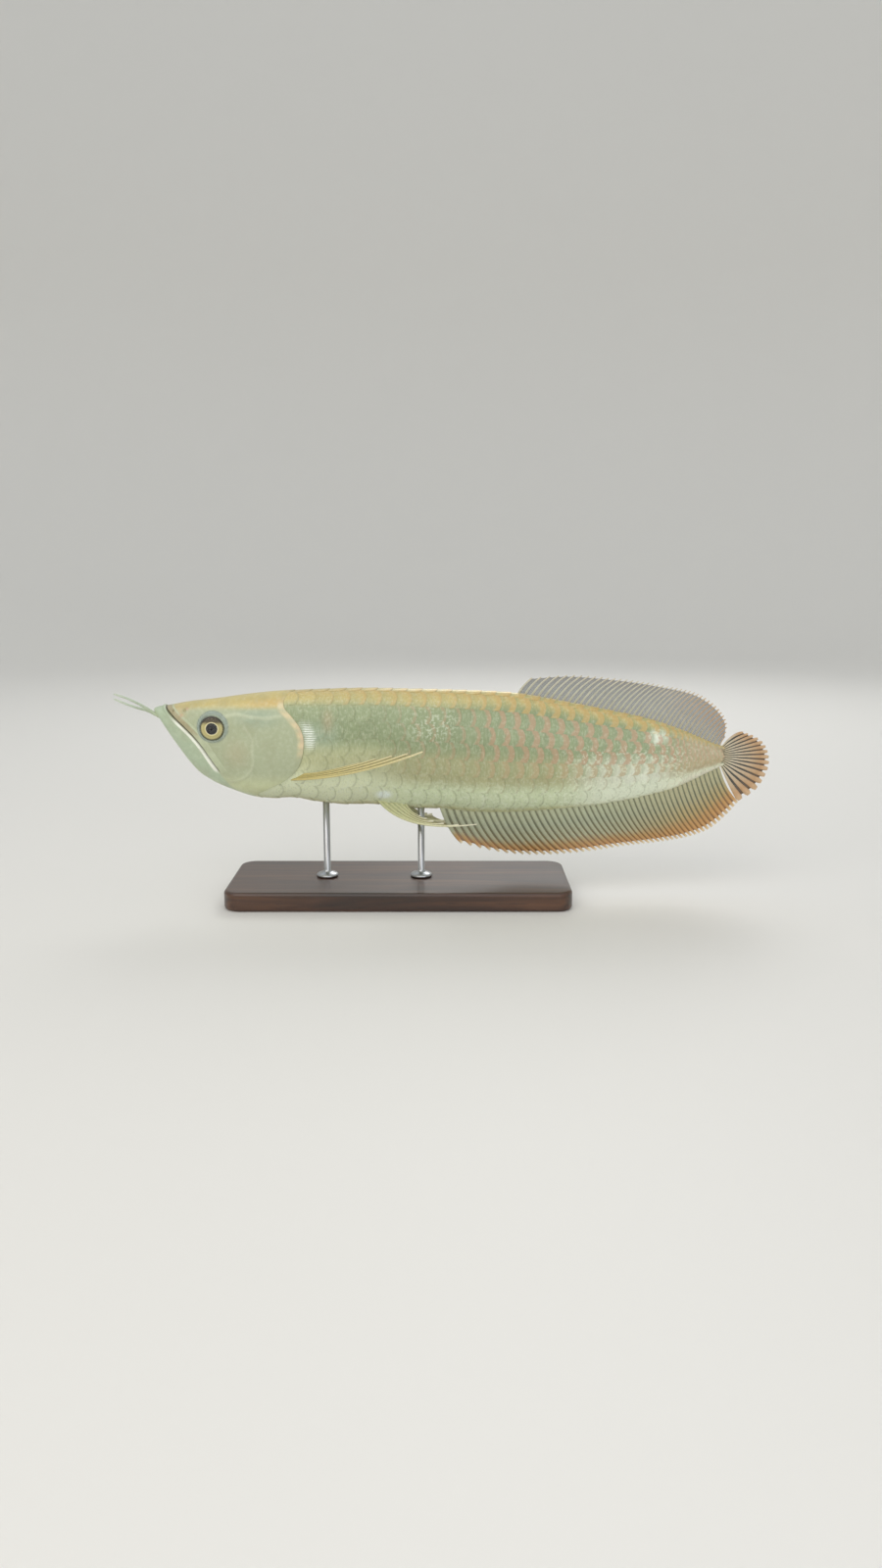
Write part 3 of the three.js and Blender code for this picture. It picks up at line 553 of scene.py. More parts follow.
def grid_faces(rows: int, columns: int, closed: bool, start: int = 0, flip: bool = False) -> np.ndarray:
    """Quads of a grid whose points are listed row by row.

    Args:
        rows: how many rows of points.
        columns: how many points in a row.
        closed: whether each row's last point joins its first.
        start: the number of the first point.
        flip: whether the faces look the other way.

    Returns:
        An (n, 4) array of point numbers.
    """
    steps = columns if closed else columns - 1
    i, j = np.meshgrid(np.arange(rows - 1), np.arange(steps), indexing="ij")
    this, after = i * columns, (j + 1) % columns
    quads = np.stack([this + j, this + after, this + columns + after, this + columns + j], -1)
    quads = quads.reshape(-1, 4) + start
    return quads[:, ::-1] if flip else quads


def border_faces(rows: int, columns: int) -> np.ndarray:
    """Quads that join two grids round their edges.

    Args:
        rows: how many rows of points each grid has.
        columns: how many points in a row.

    Returns:
        An (n, 4) array of point numbers, with the second grid's points after the first's.
    """
    loop = list(range(columns))
    loop += [i * columns + columns - 1 for i in range(1, rows)]
    loop += [(rows - 1) * columns + j for j in range(columns - 2, -1, -1)]
    loop += [i * columns for i in range(rows - 2, 0, -1)]
    size = rows * columns
    return np.array([(p, q, q + size, p + size) for p, q in zip(loop, loop[1:] + loop[:1])])


def fan_faces(hub: int, first: int, count: int) -> list:
    """Triangles from a hub point to a ring of count points that starts at first."""
    return [(hub, first + (j + 1) % count, first + j) for j in range(count)]


def turns(count: int) -> np.ndarray:
    """Angles of count even steps round a circle."""
    return np.linspace(0, 2 * math.pi, count, endpoint=False)


def add_node(tree: bpy.types.NodeTree, kind: str, inputs: dict, settings: dict) -> bpy.types.Node:
    """Adds one node to a tree.

    Args:
        tree: a material's or a geometry tree.
        kind: the node's full type.
        inputs: socket names or numbers to values, or to sockets to link from.
        settings: properties of the node.

    Returns:
        The node.
    """
    node = tree.nodes.new(kind)
    for key, value in settings.items():
        setattr(node, key, value)
    for key, value in inputs.items():
        if isinstance(value, bpy.types.NodeSocket):
            tree.links.new(value, node.inputs[key])
        else:
            node.inputs[key].default_value = value
    return node


class Nodes:
    """A material's nodes, added one at a time with their settings and links."""

    def __init__(self, name: str) -> None:
        """Starts an empty node material."""
        self.material = bpy.data.materials.new(name)
        self.material.use_nodes = True
        self.tree = self.material.node_tree
        self.tree.nodes.clear()

    def add(self, kind: str, inputs: Optional[dict] = None, **settings) -> bpy.types.Node:
        """Adds one node.

        Args:
            kind: the node's type without the ShaderNode prefix.
            inputs: socket names or numbers to values, or to sockets to link from.
            settings: properties of the node.

        Returns:
            The node.
        """
        return add_node(self.tree, "ShaderNode" + kind, inputs or {}, settings)

    def read(self, name: str) -> bpy.types.NodeSocket:
        """The number that each point of the mesh carries under a name."""
        return self.add("Attribute", attribute_name=name).outputs["Fac"]

    def markings(self) -> bpy.types.NodeSocket:
        """The colour that each point of the mesh carries."""
        return self.add("Attribute", attribute_name="markings").outputs["Color"]

    def position(self) -> bpy.types.NodeSocket:
        """The object's own coordinates."""
        return self.add("TexCoord").outputs["Object"]

    def mix(self, factor, first, second) -> bpy.types.NodeSocket:
        """A colour mix of two sockets or colours."""
        return self.add("Mix", {0: factor, 6: first, 7: second}, data_type="RGBA").outputs[2]

    def math(self, operation: str, *values, clamp: bool = False) -> bpy.types.NodeSocket:
        """One operation on one or two values, with its result held to 0 to 1 if clamp is set."""
        inputs = dict(enumerate(values))
        return self.add("Math", inputs, operation=operation, use_clamp=clamp).outputs[0]

    def relief(self, height, strength: float, distance: float) -> bpy.types.NodeSocket:
        """Fine relief from a height, as a normal."""
        inputs = {"Strength": strength, "Distance": distance, "Height": height}
        return self.add("Bump", inputs).outputs[0]

    def spread(self, value, low, high, to_low: float = 0.0, to_high: float = 1.0):
        """value moved smoothly from one range to another and held at its ends."""
        inputs = {0: value, 1: low, 2: high, 3: to_low, 4: to_high}
        return self.add("MapRange", inputs, interpolation_type="SMOOTHSTEP").outputs[0]

    def noise(self, scale: float, detail: float = 3.0, vector=None) -> bpy.types.NodeSocket:
        """Noise by the object's own coordinates, with scale in cells per metre."""
        place = vector or self.position()
        return self.add("TexNoise", {"Vector": place, "Scale": scale, "Detail": detail}).outputs[0]

    def ramp(self, factor, stops: tuple) -> bpy.types.NodeSocket:
        """A colour ramp through (place, hex colour) stops."""
        node = self.add("ValToRGB", {0: factor})
        elements = node.color_ramp.elements
        elements[0].position, elements[0].color = stops[0][0], rgba(stops[0][1])
        elements[1].position, elements[1].color = stops[-1][0], rgba(stops[-1][1])
        for place, colour in stops[1:-1]:
            elements.new(place).color = rgba(colour)
        return node.outputs[0]

    def finish(self, inputs: dict) -> bpy.types.Material:
        """Closes the material with one principled shader."""
        shader = self.add("BsdfPrincipled", inputs)
        self.add("OutputMaterial", {"Surface": shader.outputs[0]})
        return self.material


@dataclass(frozen=True)
class SkinFinish:
    """Wet skin over bone and flesh, with a fine mottle."""

    mottle: float = 0.16
    roughness: float = 0.46

    def build(self) -> bpy.types.Material:
        """The finished material."""
        n = Nodes("skin")
        base = n.markings()
        patches = n.spread(n.noise(340, 6), 0.4, 0.75)
        grain = n.noise(1100, 4)
        colour = n.mix(n.math("MULTIPLY", patches, self.mottle), base, rgba("#E3E9D3"))
        colour = n.mix(n.spread(n.noise(75, 3), 0.45, 0.7, 0, 0.25), colour, rgba("#9C9A78"))
        colour = n.mix(n.spread(grain, 0.5, 0.7, 0, 0.16), colour, rgba("#8C9A80"))
        height = n.math("ADD", n.math("MULTIPLY", grain, 0.5), patches)
        relief = n.relief(height, 0.1, 0.0005)
        return n.finish({
            "Base Color": colour, "Roughness": self.roughness, "Metallic": 0.05, "Normal": relief,
            "Coat Weight": 0.2, "Coat Roughness": 0.2})


@dataclass(frozen=True)
class ScaleFinish:
    """Pearly scales: a green centre, a warm rim as wide as the scale's strength of rim, specks of pearl
    that also carry painted sheen and painted glints on the flank, and the white comb of the shoulder,
    partly painted highlight."""

    rims: tuple = ((0.0, "#CBAE6E"), (0.5, "#BC9B7C"), (1.0, "#BAA981"))
    oval: str = "#97A87B"
    fleck: str = "#E4ECD3"
    roughness: float = 0.36

    def build(self) -> bpy.types.Material:
        """The finished material."""
        n = Nodes("scales")
        base = n.markings()
        warm = n.read("rim")
        hue = n.read("hue")
        pearl = n.read("pearl")
        # the strength of the white comb behind the gill edge, partly painted highlight
        comb_and_highlight = n.read("comb_and_highlight")
        flat = n.add("UVMap", uv_map="ScaleMap").outputs[0]
        place = n.add("SeparateXYZ", {0: flat})
        across = n.math("ABSOLUTE", n.math("SUBTRACT", place.outputs[1], 0.5))
        bowed = n.math("ADD", place.outputs[0], n.math("MULTIPLY", n.math("POWER", across, 2.0), 0.3))
        speck = n.noise(420, 4)
        edge = n.math("ADD", bowed, n.math("MULTIPLY", n.math("SUBTRACT", speck, 0.5), 0.2))
        start = n.math("SUBTRACT", 0.93, n.math("MULTIPLY", warm, 0.22))
        soft = n.math("ADD", start, 0.13)
        rim = n.math("MULTIPLY", n.spread(edge, start, soft), n.math("MULTIPLY", warm, 1.3), clamp=True)
        oval = n.math("MULTIPLY", n.math("SUBTRACT", 1.0, n.spread(edge, 0.45, start)), warm)
        colour = n.mix(n.math("MULTIPLY", oval, 0.45), base, rgba(self.oval))
        upright = n.add("Mapping", {0: n.position(), "Scale": (1.0, 1.0, 0.28)})
        grain = n.noise(900, 5, upright.outputs[0])
        colour = n.mix(n.spread(grain, 0.5, 0.68, 0, 0.3), colour, rgba("#CDCFB2"))
        colour = n.mix(n.spread(grain, 0.5, 0.34, 0, 0.22), colour, rgba("#868F6C"))
        colour = n.mix(n.math("MULTIPLY", rim, 0.72), colour, n.ramp(hue, self.rims))
        line = n.math("SUBTRACT", n.spread(bowed, 0.92, 0.99), warm, clamp=True)
        colour = n.mix(n.math("MULTIPLY", line, 0.3), colour, rgba("#8A8F69"))
        # pale specks by the pearl weight, which also carries painted sheen and painted glints on the
        # flank
        specks = n.math("MULTIPLY", n.spread(n.noise(480, 6), 0.5, 0.62), pearl)
        colour = n.mix(n.math("MULTIPLY", specks, 0.7), colour, rgba(self.fleck))
        # white streaks of the comb: partly pale streaks of the scales and partly painted highlight
        height = n.add("SeparateXYZ", {0: n.position()}).outputs[2]
        phase = n.math("ADD", n.math("MULTIPLY", height, 3900.0), n.math("MULTIPLY", speck, 4.0))
        wave = n.math("SINE", phase)
        streaks = n.math("MULTIPLY", n.spread(wave, -0.4, 0.6, 0.25), comb_and_highlight)
        colour = n.mix(streaks, colour, rgba("#F2F8EE"))
        rays = n.add("TexWave", {"Vector": flat, "Scale": 9.0, "Distortion": 1.2},
                     bands_direction="X").outputs[1]
        rough = n.math("ADD", n.math("MULTIPLY", rays, 0.3), speck)
        relief = n.relief(rough, 0.1, 0.0004)
        return n.finish({
            "Base Color": colour, "Roughness": self.roughness, "Metallic": 0.12, "Normal": relief,
            "Coat Weight": 0.25, "Coat Roughness": 0.2})


@dataclass(frozen=True)
class RayFinish:
    """Fin rays, coloured from root to tip and ringed by their fine joints."""

    name: str
    stops: tuple
    rear_stops: tuple = ()
    roughness: float = 0.46

    def build(self) -> bpy.types.Material:
        """The finished material. rear_stops, if any, take over in the fin's rear third."""
        n = Nodes(self.name)
        uneven = n.math("MULTIPLY", n.math("SUBTRACT", n.noise(120, 2), 0.5), 0.1)
        along = n.math("ADD", n.read("along"), uneven)
        tint = n.ramp(along, self.stops)
        if self.rear_stops:
            rear = n.spread(n.read("place"), 0.45, 0.85)
            tint = n.mix(rear, tint, n.ramp(along, self.rear_stops))
        colour = n.mix(n.spread(n.noise(500, 3), 0.4, 0.7, 0, 0.2), tint, rgba("#8E8468"))
        joints = n.math("SINE", n.math("MULTIPLY", along, 260.0))
        relief = n.relief(joints, 0.15, 0.0003)
        return n.finish({"Base Color": colour, "Roughness": self.roughness, "Normal": relief,
                         "Coat Weight": 0.15, "Coat Roughness": 0.25})


@dataclass(frozen=True)
class MembraneFinish:
    """The thin web between rays, coloured from root to edge, with darker patches."""

    name: str
    stops: tuple
    alpha: float

    def build(self) -> bpy.types.Material:
        """The finished material."""
        n = Nodes(self.name)
        tint = n.ramp(n.read("along"), self.stops)
        colour = n.mix(n.spread(n.noise(300, 3), 0.4, 0.7, 0, 0.3), tint, rgba("#57584A"))
        return n.finish({"Base Color": colour, "Roughness": 0.35, "Alpha": self.alpha,
                         "Coat Weight": 0.3, "Coat Roughness": 0.15})


@dataclass(frozen=True)
class EyeFinish:
    """The eye's rings by the distance from its centre, with a dark crescent over the pupil."""

    def build(self) -> bpy.types.Material:
        """The finished material."""
        n = Nodes("eye")
        place = n.add("SeparateXYZ", {0: n.add("UVMap", uv_map="EyeMap").outputs[0]})
        out, up = place.outputs[0], place.outputs[1]
        pupil = EYE.pupil / EYE.ball
        streak = n.math("MULTIPLY", n.math("SUBTRACT", n.noise(900, 4), 0.5), 0.05)
        rings = n.ramp(n.math("ADD", out, streak), (
            (0.0, "#050403"), (pupil - 0.02, "#070504"), (pupil + 0.02, "#EFE8C4"), (0.55, "#D3C88F"),
            (0.66, "#B9AE70"), (0.84, "#C3BA80"), (0.93, "#8A8458"), (1.0, "#3E3E2C")))
        shade = n.math("MULTIPLY", n.spread(up, 0.62, 0.82), n.spread(out, 0.54, 0.6))
        colour = n.mix(n.math("MULTIPLY", shade, 0.92), rings, rgba("#2F2114"))
        return n.finish({"Base Color": colour, "Roughness": 0.35, "Specular IOR Level": 0.15})


@dataclass(frozen=True)
class PlainFinish:
    """A plain finish for cornea, steel and floor."""

    name: str
    colour: str
    roughness: float
    metallic: float = 0.0
    alpha: float = 1.0
    coat: float = 0.0

    def build(self) -> bpy.types.Material:
        """The finished material."""
        n = Nodes(self.name)
        return n.finish({"Base Color": rgba(self.colour), "Roughness": self.roughness,
                         "Metallic": self.metallic, "Alpha": self.alpha, "Coat Weight": self.coat})


@dataclass(frozen=True)
class WoodFinish:
    """Dark stained walnut under a satin varnish, with its grain along the base."""

    def build(self) -> bpy.types.Material:
        """The finished material."""
        n = Nodes("stand wood")
        place = n.add("Mapping", {0: n.position(), "Scale": (9.0, 120.0, 120.0)})
        figure = {"Vector": place.outputs[0], "Scale": 1.0, "Detail": 6.0, "Distortion": 0.6}
        grain = n.add("TexNoise", figure).outputs[0]
        drawn_out = n.add("Mapping", {0: n.position(), "Scale": (0.06, 1.0, 1.0)})
        pores = n.noise(700, 2, drawn_out.outputs[0])
        colour = n.ramp(grain, ((0.3, "#24140B"), (0.5, "#3E2414"), (0.72, "#5C3A22")))
        colour = n.mix(n.spread(pores, 0.6, 0.72, 0, 0.5), colour, rgba("#180D07"))
        relief = n.relief(grain, 0.15, 0.0003)
        return n.finish({"Base Color": colour, "Roughness": 0.38, "Normal": relief,
                         "Coat Weight": 0.5, "Coat Roughness": 0.2})


@dataclass
class Skin:
    """The one skin of head, jaw, trunk and tail. Its rings run along the mouth and the gill edge."""

    half_steps: int = 96
    coat_depth: float = 0.55
    gill_rise: float = 1.1
    gill_length: float = 34.0
    lip_rise: float = 0.8
    maxilla_rise: float = 0.6
    cleft_depth: float = 1.3
    orbit_rise: float = 0.6
    socket_depth: float = 3.4
    ridge_rise: float = 0.3
    temple_rise: float = 0.22
    suture_depth: float = 0.2
    nostril_rise: float = 0.4
    nostril_depth: float = 1.2
    plain_from: float = 150.0
    crowding: float = 0.8
    # painted shade: how much darker the skin under the scales is painted
    shade_under_scales: float = 0.75

    def ring_lines(self) -> list:
        """(weight of mouth line, weight of gill line, plain x) of each ring, from chin to tail.

        The rings of the cheek crowd towards both of its seams.
        """
        even = np.linspace(0, 1, 150)[1:]
        crowded = even - self.crowding * np.sin(2 * math.pi * even) / (2 * math.pi)
        jaw = [(w, 0.0, CHIN * (1 - w)) for w in np.linspace(0.03, 1, 52) ** 0.9]
        cheek = [(1 - w, w, 0.0) for w in crowded]
        shoulder = [(0.0, 1 - w, self.plain_from * w) for w in np.linspace(0, 1, 46)[1:] ** 1.6]
        rear = [(0.0, 0.0, x) for x in np.linspace(self.plain_from, PEDUNCLE_END, 160)[1:]]
        return jaw + cheek + shoulder + rear

    def lay_out(self) -> tuple[np.ndarray, np.ndarray]:
        """Where the rings cross each share of the section.

        Returns:
            Stations as a (ring, share) array, and the shares.
        """
        shares = np.linspace(0, 1, self.half_steps + 1)
        columns = shares * (FORM.shares - 1)
        low = np.clip(columns.astype(int), 0, FORM.shares - 2)
        part = columns - low
        z = FORM.z_table[:, low] * (1 - part) + FORM.z_table[:, low + 1] * part
        mouth, gill = MOUTH_LINE(z), GILL_MARGIN(z)
        lines = self.ring_lines()
        pick = np.arange(len(shares))
        stations = np.zeros((len(lines), len(shares)))
        for i, (to_mouth, to_gill, plain) in enumerate(lines):
            gap = FORM.x[:, None] - (to_mouth * mouth + to_gill * gill + plain)
            first = np.clip(np.argmax(gap > 0, 0), 1, len(FORM.x) - 1)
            before, after = gap[first - 1, pick], gap[first, pick]
            t = np.clip(-before / np.where(after == before, 1, after - before), 0, 1)
            stations[i] = FORM.x[first - 1] + t * FORM.step
        return stations, shares

    def lift(self, x: np.ndarray, z: np.ndarray) -> np.ndarray:
        """How far the skin's features stand out from the plain body.

        Args:
            x: stations.
            z: levels.

        Returns:
            Millimetres, negative where they are sunk.
        """
        mouth = seam_distance(MOUTH_LINE, x, z)
        gill = seam_distance(GILL_MARGIN, x, z)
        lips = ease((z - MOUTH_CORNER) / 5)
        high = ease((FORM.back(x) - z) / 4)
        rise = self.gill_rise * ease((x - GILL_MARGIN(z) + self.gill_length) / self.gill_length)
        rise *= ease((z - FORM.belly(x)) / 12) * ease((FORM.back(x) - z) / 14)
        behind = ease(gill / 0.45)
        total = rise * (1 - behind) - self.coat_depth * behind
        total += self.lip_rise * bump((mouth + 1.5) / 1.5) * lips
        total += self.maxilla_rise * band(mouth, 1.1, 4.8, 0.7) * lips * high
        total -= self.cleft_depth * bump(mouth / 0.7) * lips
        total += self.orbit_rise * bump((EYE.from_ring(x, z) - 10.2) / 1.3)
        total -= self.socket_depth * ease((EYE.ball + 0.5 - EYE.from_ball(x, z)) / 0.9)
        total += self.ridge_rise * bump(path_distance(CHEEK_RIDGE, x, z) / 1.5)
        total += self.temple_rise * bump(path_distance(TEMPLE_LINE, x, z) / 1.6)
        total -= self.suture_depth * bump(path_distance(COVER_SUTURE, x, z))
        for px, pz, radius in NOSTRILS:
            away = np.hypot(x - px, z - pz)
            total += self.nostril_rise * bump((away - radius - 0.5) / 0.7)
            total -= self.nostril_depth * ease((radius - away) / 0.5)
        for px, pz, radius in NOSTRIL_BUMPS:
            total += self.nostril_rise * spot(x, z, (px, pz), (radius, radius))
        return total

    def build(self, material: bpy.types.Material) -> bpy.types.Object:
        """Makes the skin.

        Args:
            material: its finish.

        Returns:
            The piece, which stands for the four nodes of flesh.
        """
        stations, shares = self.lay_out()
        girth = np.concatenate([shares, 2 - shares[-2:0:-1]])
        x = np.concatenate([stations, stations[:, -2:0:-1]], 1)
        base = FORM.surface(x, girth[None, :] + 0 * x, 0 * x)
        along = np.gradient(base, axis=0)
        around = np.roll(base, -1, 1) - np.roll(base, 1, 1)
        normal = np.cross(along, around)
        normal /= np.maximum(np.linalg.norm(normal, axis=2, keepdims=True), TINY)
        outward = np.sign((normal[..., 1] * base[..., 1]).sum())
        lift = self.lift(base[..., 0], base[..., 2])
        points = base + outward * normal * lift[..., None]
        colours = self.colours(base[..., 0], girth[None, :] + 0 * x, base[..., 2])
        rings, count = points.shape[:2]
        ends = np.stack([points[0].mean(0) + (-0.8, 0, 0), points[-1].mean(0) + (0.3, 0, 0)])
        flat = np.concatenate([points.reshape(-1, 3), ends])
        faces = grid_faces(rings, count, True, flip=True).tolist()
        faces += [face[::-1] for face in fan_faces(rings * count, 0, count)]
        faces += [(b, c, a) for a, b, c in fan_faces(rings * count + 1, (rings - 1) * count, count)]
        colours = np.concatenate([colours.reshape(-1, 3), colours[0, :1], colours[-1, :1]])
        piece = make_piece("skin", MeshParts(flat, faces, colours), material)
        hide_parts("head", "lower_jaw", "trunk", "tail")
        return piece

    def colours(self, x: np.ndarray, girth: np.ndarray, z: np.ndarray) -> np.ndarray:
        """The head's markings ahead of the gill edge and the body's behind it, darker there as painted
        shade under the scales.
        """
        gill = seam_distance(GILL_MARGIN, x, z)
        behind = ease((gill - 0.1) / 0.5)
        return mix(MARKINGS.head(x, z), MARKINGS.body(x, girth) * self.shade_under_scales, behind)


@dataclass
class ScaleCoat:
    """Large overlapping scales behind the gill edge, in rows along the body like roof tiles."""

    rows: int = 16
    pitch: float = 10.7
    slant: float = 0.3
    anchor: float = 304.6
    length_share: float = 1.75
    root_depth: float = 0.5
    edge_height: float = 0.17
    thickness: float = 0.2
    along_count: int = 9
    across_count: int = 9
    first: float = 88.0
    last: float = 417.0

    def pitch_at(self, x: float) -> float:
        """The distance between columns of scales at x: larger at the shoulder, tight at the tail."""
        front = 1 + 0.2 * (1 - float(ease((x - 110) / 80)))
        return self.pitch * front * (1 - 0.68 * float(ease((x - 348) / 48)))

    def columns(self) -> list:
        """Stations of the columns along the back, stepped both ways from the anchor."""
        found = [self.anchor]
        while found[0] > self.first:
            found.insert(0, found[0] - self.pitch_at(found[0]))
        while found[-1] < self.last:
            found.append(found[-1] + self.pitch_at(found[-1]))
        return found

    def places(self) -> list:
        """(x, girth, pitch) of the middle of each scale's rear edge.

        Each row down to the middle of the flank lags the one above it, and those below lead again.
        """
        found = []
        for column in self.columns():
            pitch = self.pitch_at(column)
            for row in range(self.rows):
                down = row if row <= self.rows / 2 else self.rows - row
                x = column + self.slant * pitch * min(down, self.rows / 2 - down)
                girth = row * 2 / self.rows
                z = FORM.surface(np.array(x), np.array(girth), np.array(0.0))[2]
                if GILL_MARGIN(z) + 0.25 * pitch < x < self.last + pitch:
                    found.append((x, girth, pitch))
        return found

    def shape(self, x: float, girth: float, pitch: float, turn: float) -> tuple:
        """One scale's grid.

        Args:
            x: the middle of its rear edge.
            girth: the middle of its height.
            pitch: the distance to the next scale of its row.
            turn: a random number from -1 to 1.

        Returns:
            The grid's a and b from -1 to 1, its stations, its girths and its rise from the skin.
        """
        along, across = np.linspace(-1, 1, self.along_count), np.linspace(-1, 1, self.across_count)
        a, b = np.meshgrid(along, across, indexing="ij")
        reach = self.length_share * pitch
        px = x + 0.5 * (a - 1) * reach - 0.19 * pitch * b**2 * (0.5 + 0.5 * a)
        pg = girth + b * 1.1 / self.rows * (1 - 0.08 * np.clip(a, 0, 1))
        edge = self.edge_height * (0.5 + 0.5 * float(ease((x - 120) / 60)))
        rise = (self.root_depth + edge) * ((a + 1) / 2) ** 0.9 - self.root_depth
        rise += 0.05 * (1 - b**2) + 0.05 * b + 0.015 * turn
        return a, b, np.minimum(px, PEDUNCLE_END + 1.5), pg, rise

    def build(self, material: bpy.types.Material, side: Side) -> bpy.types.Object:
        """Makes one side's scales as one joined mesh.

        Args:
            material: their finish.
            side: which side's scales.

        Returns:
            The piece.
        """
        rng = np.random.default_rng(7 + side.value)
        size = self.along_count * self.across_count
        top = grid_faces(self.along_count, self.across_count, False, flip=True)
        border = border_faces(self.along_count, self.across_count)
        points, faces, colours, scale_map, bake_map = [], [], [], [], []
        scalars = {"rim": [], "hue": [], "pearl": [], "comb_and_highlight": []}
        places = [place for place in self.places() if (place[1] % 2 <= 1) == (side is Side.LEFT)]
        for count, (x, girth, pitch) in enumerate(places):
            turn = rng.uniform(-1, 1)
            a, b, px, pg, rise = self.shape(x, girth, pitch, turn)
            outer = FORM.surface(px, pg, rise)
            inner = FORM.surface(px, pg, rise - self.thickness * (0.4 + 0.3 * (a + 1)))
            start = count * 2 * size
            points += [outer.reshape(-1, 3), inner.reshape(-1, 3)]
            faces += [top + start, top[:, ::-1] + start + size, border + start]
            colours += [(MARKINGS.body(px, pg) * (1 + 0.04 * turn)).reshape(-1, 3)] * 2
            scale_map += [np.stack([(a + 1) / 2, (b + 1) / 2], -1).reshape(-1, 2)] * 2
            bake_map += [self.bake_patch(x, girth, pitch, a, b)] * 2
            looks = self.looks(px, pg, outer[..., 2], float(half_share(np.array(girth))))
            for key, values in looks.items():
                scalars[key] += [np.broadcast_to(values, px.shape).ravel()] * 2
        parts = MeshParts(
            np.concatenate(points), np.concatenate(faces).tolist(), np.concatenate(colours),
            {key: np.concatenate(values) for key, values in scalars.items()},
            {"ScaleMap": np.concatenate(scale_map), "OFBake": np.concatenate(bake_map)})
        piece = make_piece(f"scales_{side.name.lower()}", parts, material)
        piece.data.set_sharp_from_angle(angle=0.6)
        log.info("scales %s: %d", side.name.lower(), len(places))
        return piece

    def looks(self, x: np.ndarray, girth: np.ndarray, z: np.ndarray, share: float) -> dict:
        """What the scales' finish reads at a scale's points.

        Args:
            x: stations.
            girth: places round the body.
            z: levels.
            share: the scale's own place from back to belly.

        Returns:
            The strength of its rim, the rim's hue, the strength of pearl specks with their painted
            sheen and glints, and the strength of the white comb, partly painted highlight.
        """
        back = 1 - ease((share - 0.1) / 0.12)
        fade = 1 - ease((share - 0.62) / 0.2)
        flank = (0.45 * ease((x - 155) / 45) + 0.55 * ease((x - 220) / 50)) * fade
        rim = np.maximum(flank, 0.62 * back * ease((x - 100) / 60)) * (1 - 0.35 * ease((x - 372) / 25))
        hue = 0.5 * ease((share - 0.1) / 0.16) + 0.5 * ease((share - 0.5) / 0.15)
        low = ease((half_share(girth) - 0.7) / 0.14)
        # pearl specks everywhere, more on the belly and in the patch low on the rear flank, which is
        # partly painted sheen
        pearl = 0.15 + 0.5 * low + 0.5 * band(x, 322, 372, 40) * band(z, -34, -2, 12)
        # painted sheen: a patch of dense pale specks up the mid flank
        pearl += 0.5 * spot(x, z, (205, 22), (26, 20))
        # painted highlight: dense pale specks at the same white glint
        pearl += spot(x, z, GLINT_SPOT, (10, 8))
        # the white comb just behind the gill edge, partly painted highlight
        gill = seam_distance(GILL_MARGIN, x, z)
        comb_and_highlight = np.clip(1.7 * bump((gill - 4.6) / 5) * bump((z - 15) / 13), 0, 1)
        return {"rim": rim, "hue": hue, "pearl": np.clip(pearl, 0, 1), "comb_and_highlight": comb_and_highlight}

    def bake_patch(self, x: float, girth: float, pitch: float, a: np.ndarray, b: np.ndarray):
        """A scale's own patch at its place on an unwrap of the skin.

        The scales are few and large, so each patch fills its share of the unwrap, clear of the next.

        Args:
            x: the middle of the scale's rear edge.
            girth: its place round the body.
            pitch: the distance to the next scale of its row.
            a: the grid's places along the scale, from -1 to 1.
            b: the grid's places across it, from -1 to 1.

        Returns:
            An (n, 2) array of map coordinates.
        """
        u = 0.02 + 0.94 * (x - 60) / 370 + 0.4 * 0.94 * pitch / 370 * a
        v = 0.05 + 0.9 * (girth % 2) / 2 + 0.42 * 0.9 / self.rows * b
        return np.stack([u, v], -1).reshape(-1, 2)


def bent_ray(root: np.ndarray, knee: np.ndarray, tip: np.ndarray) -> Callable:
    """A ray from root to tip that starts towards the knee, as a function of t from 0 to 1."""

    def at(t: np.ndarray) -> np.ndarray:
        """Points along the ray."""
        t = np.asarray(t, float)[..., None]
        return root * (1 - t) ** 2 + 2 * knee * t * (1 - t) + tip * t**2

    return at


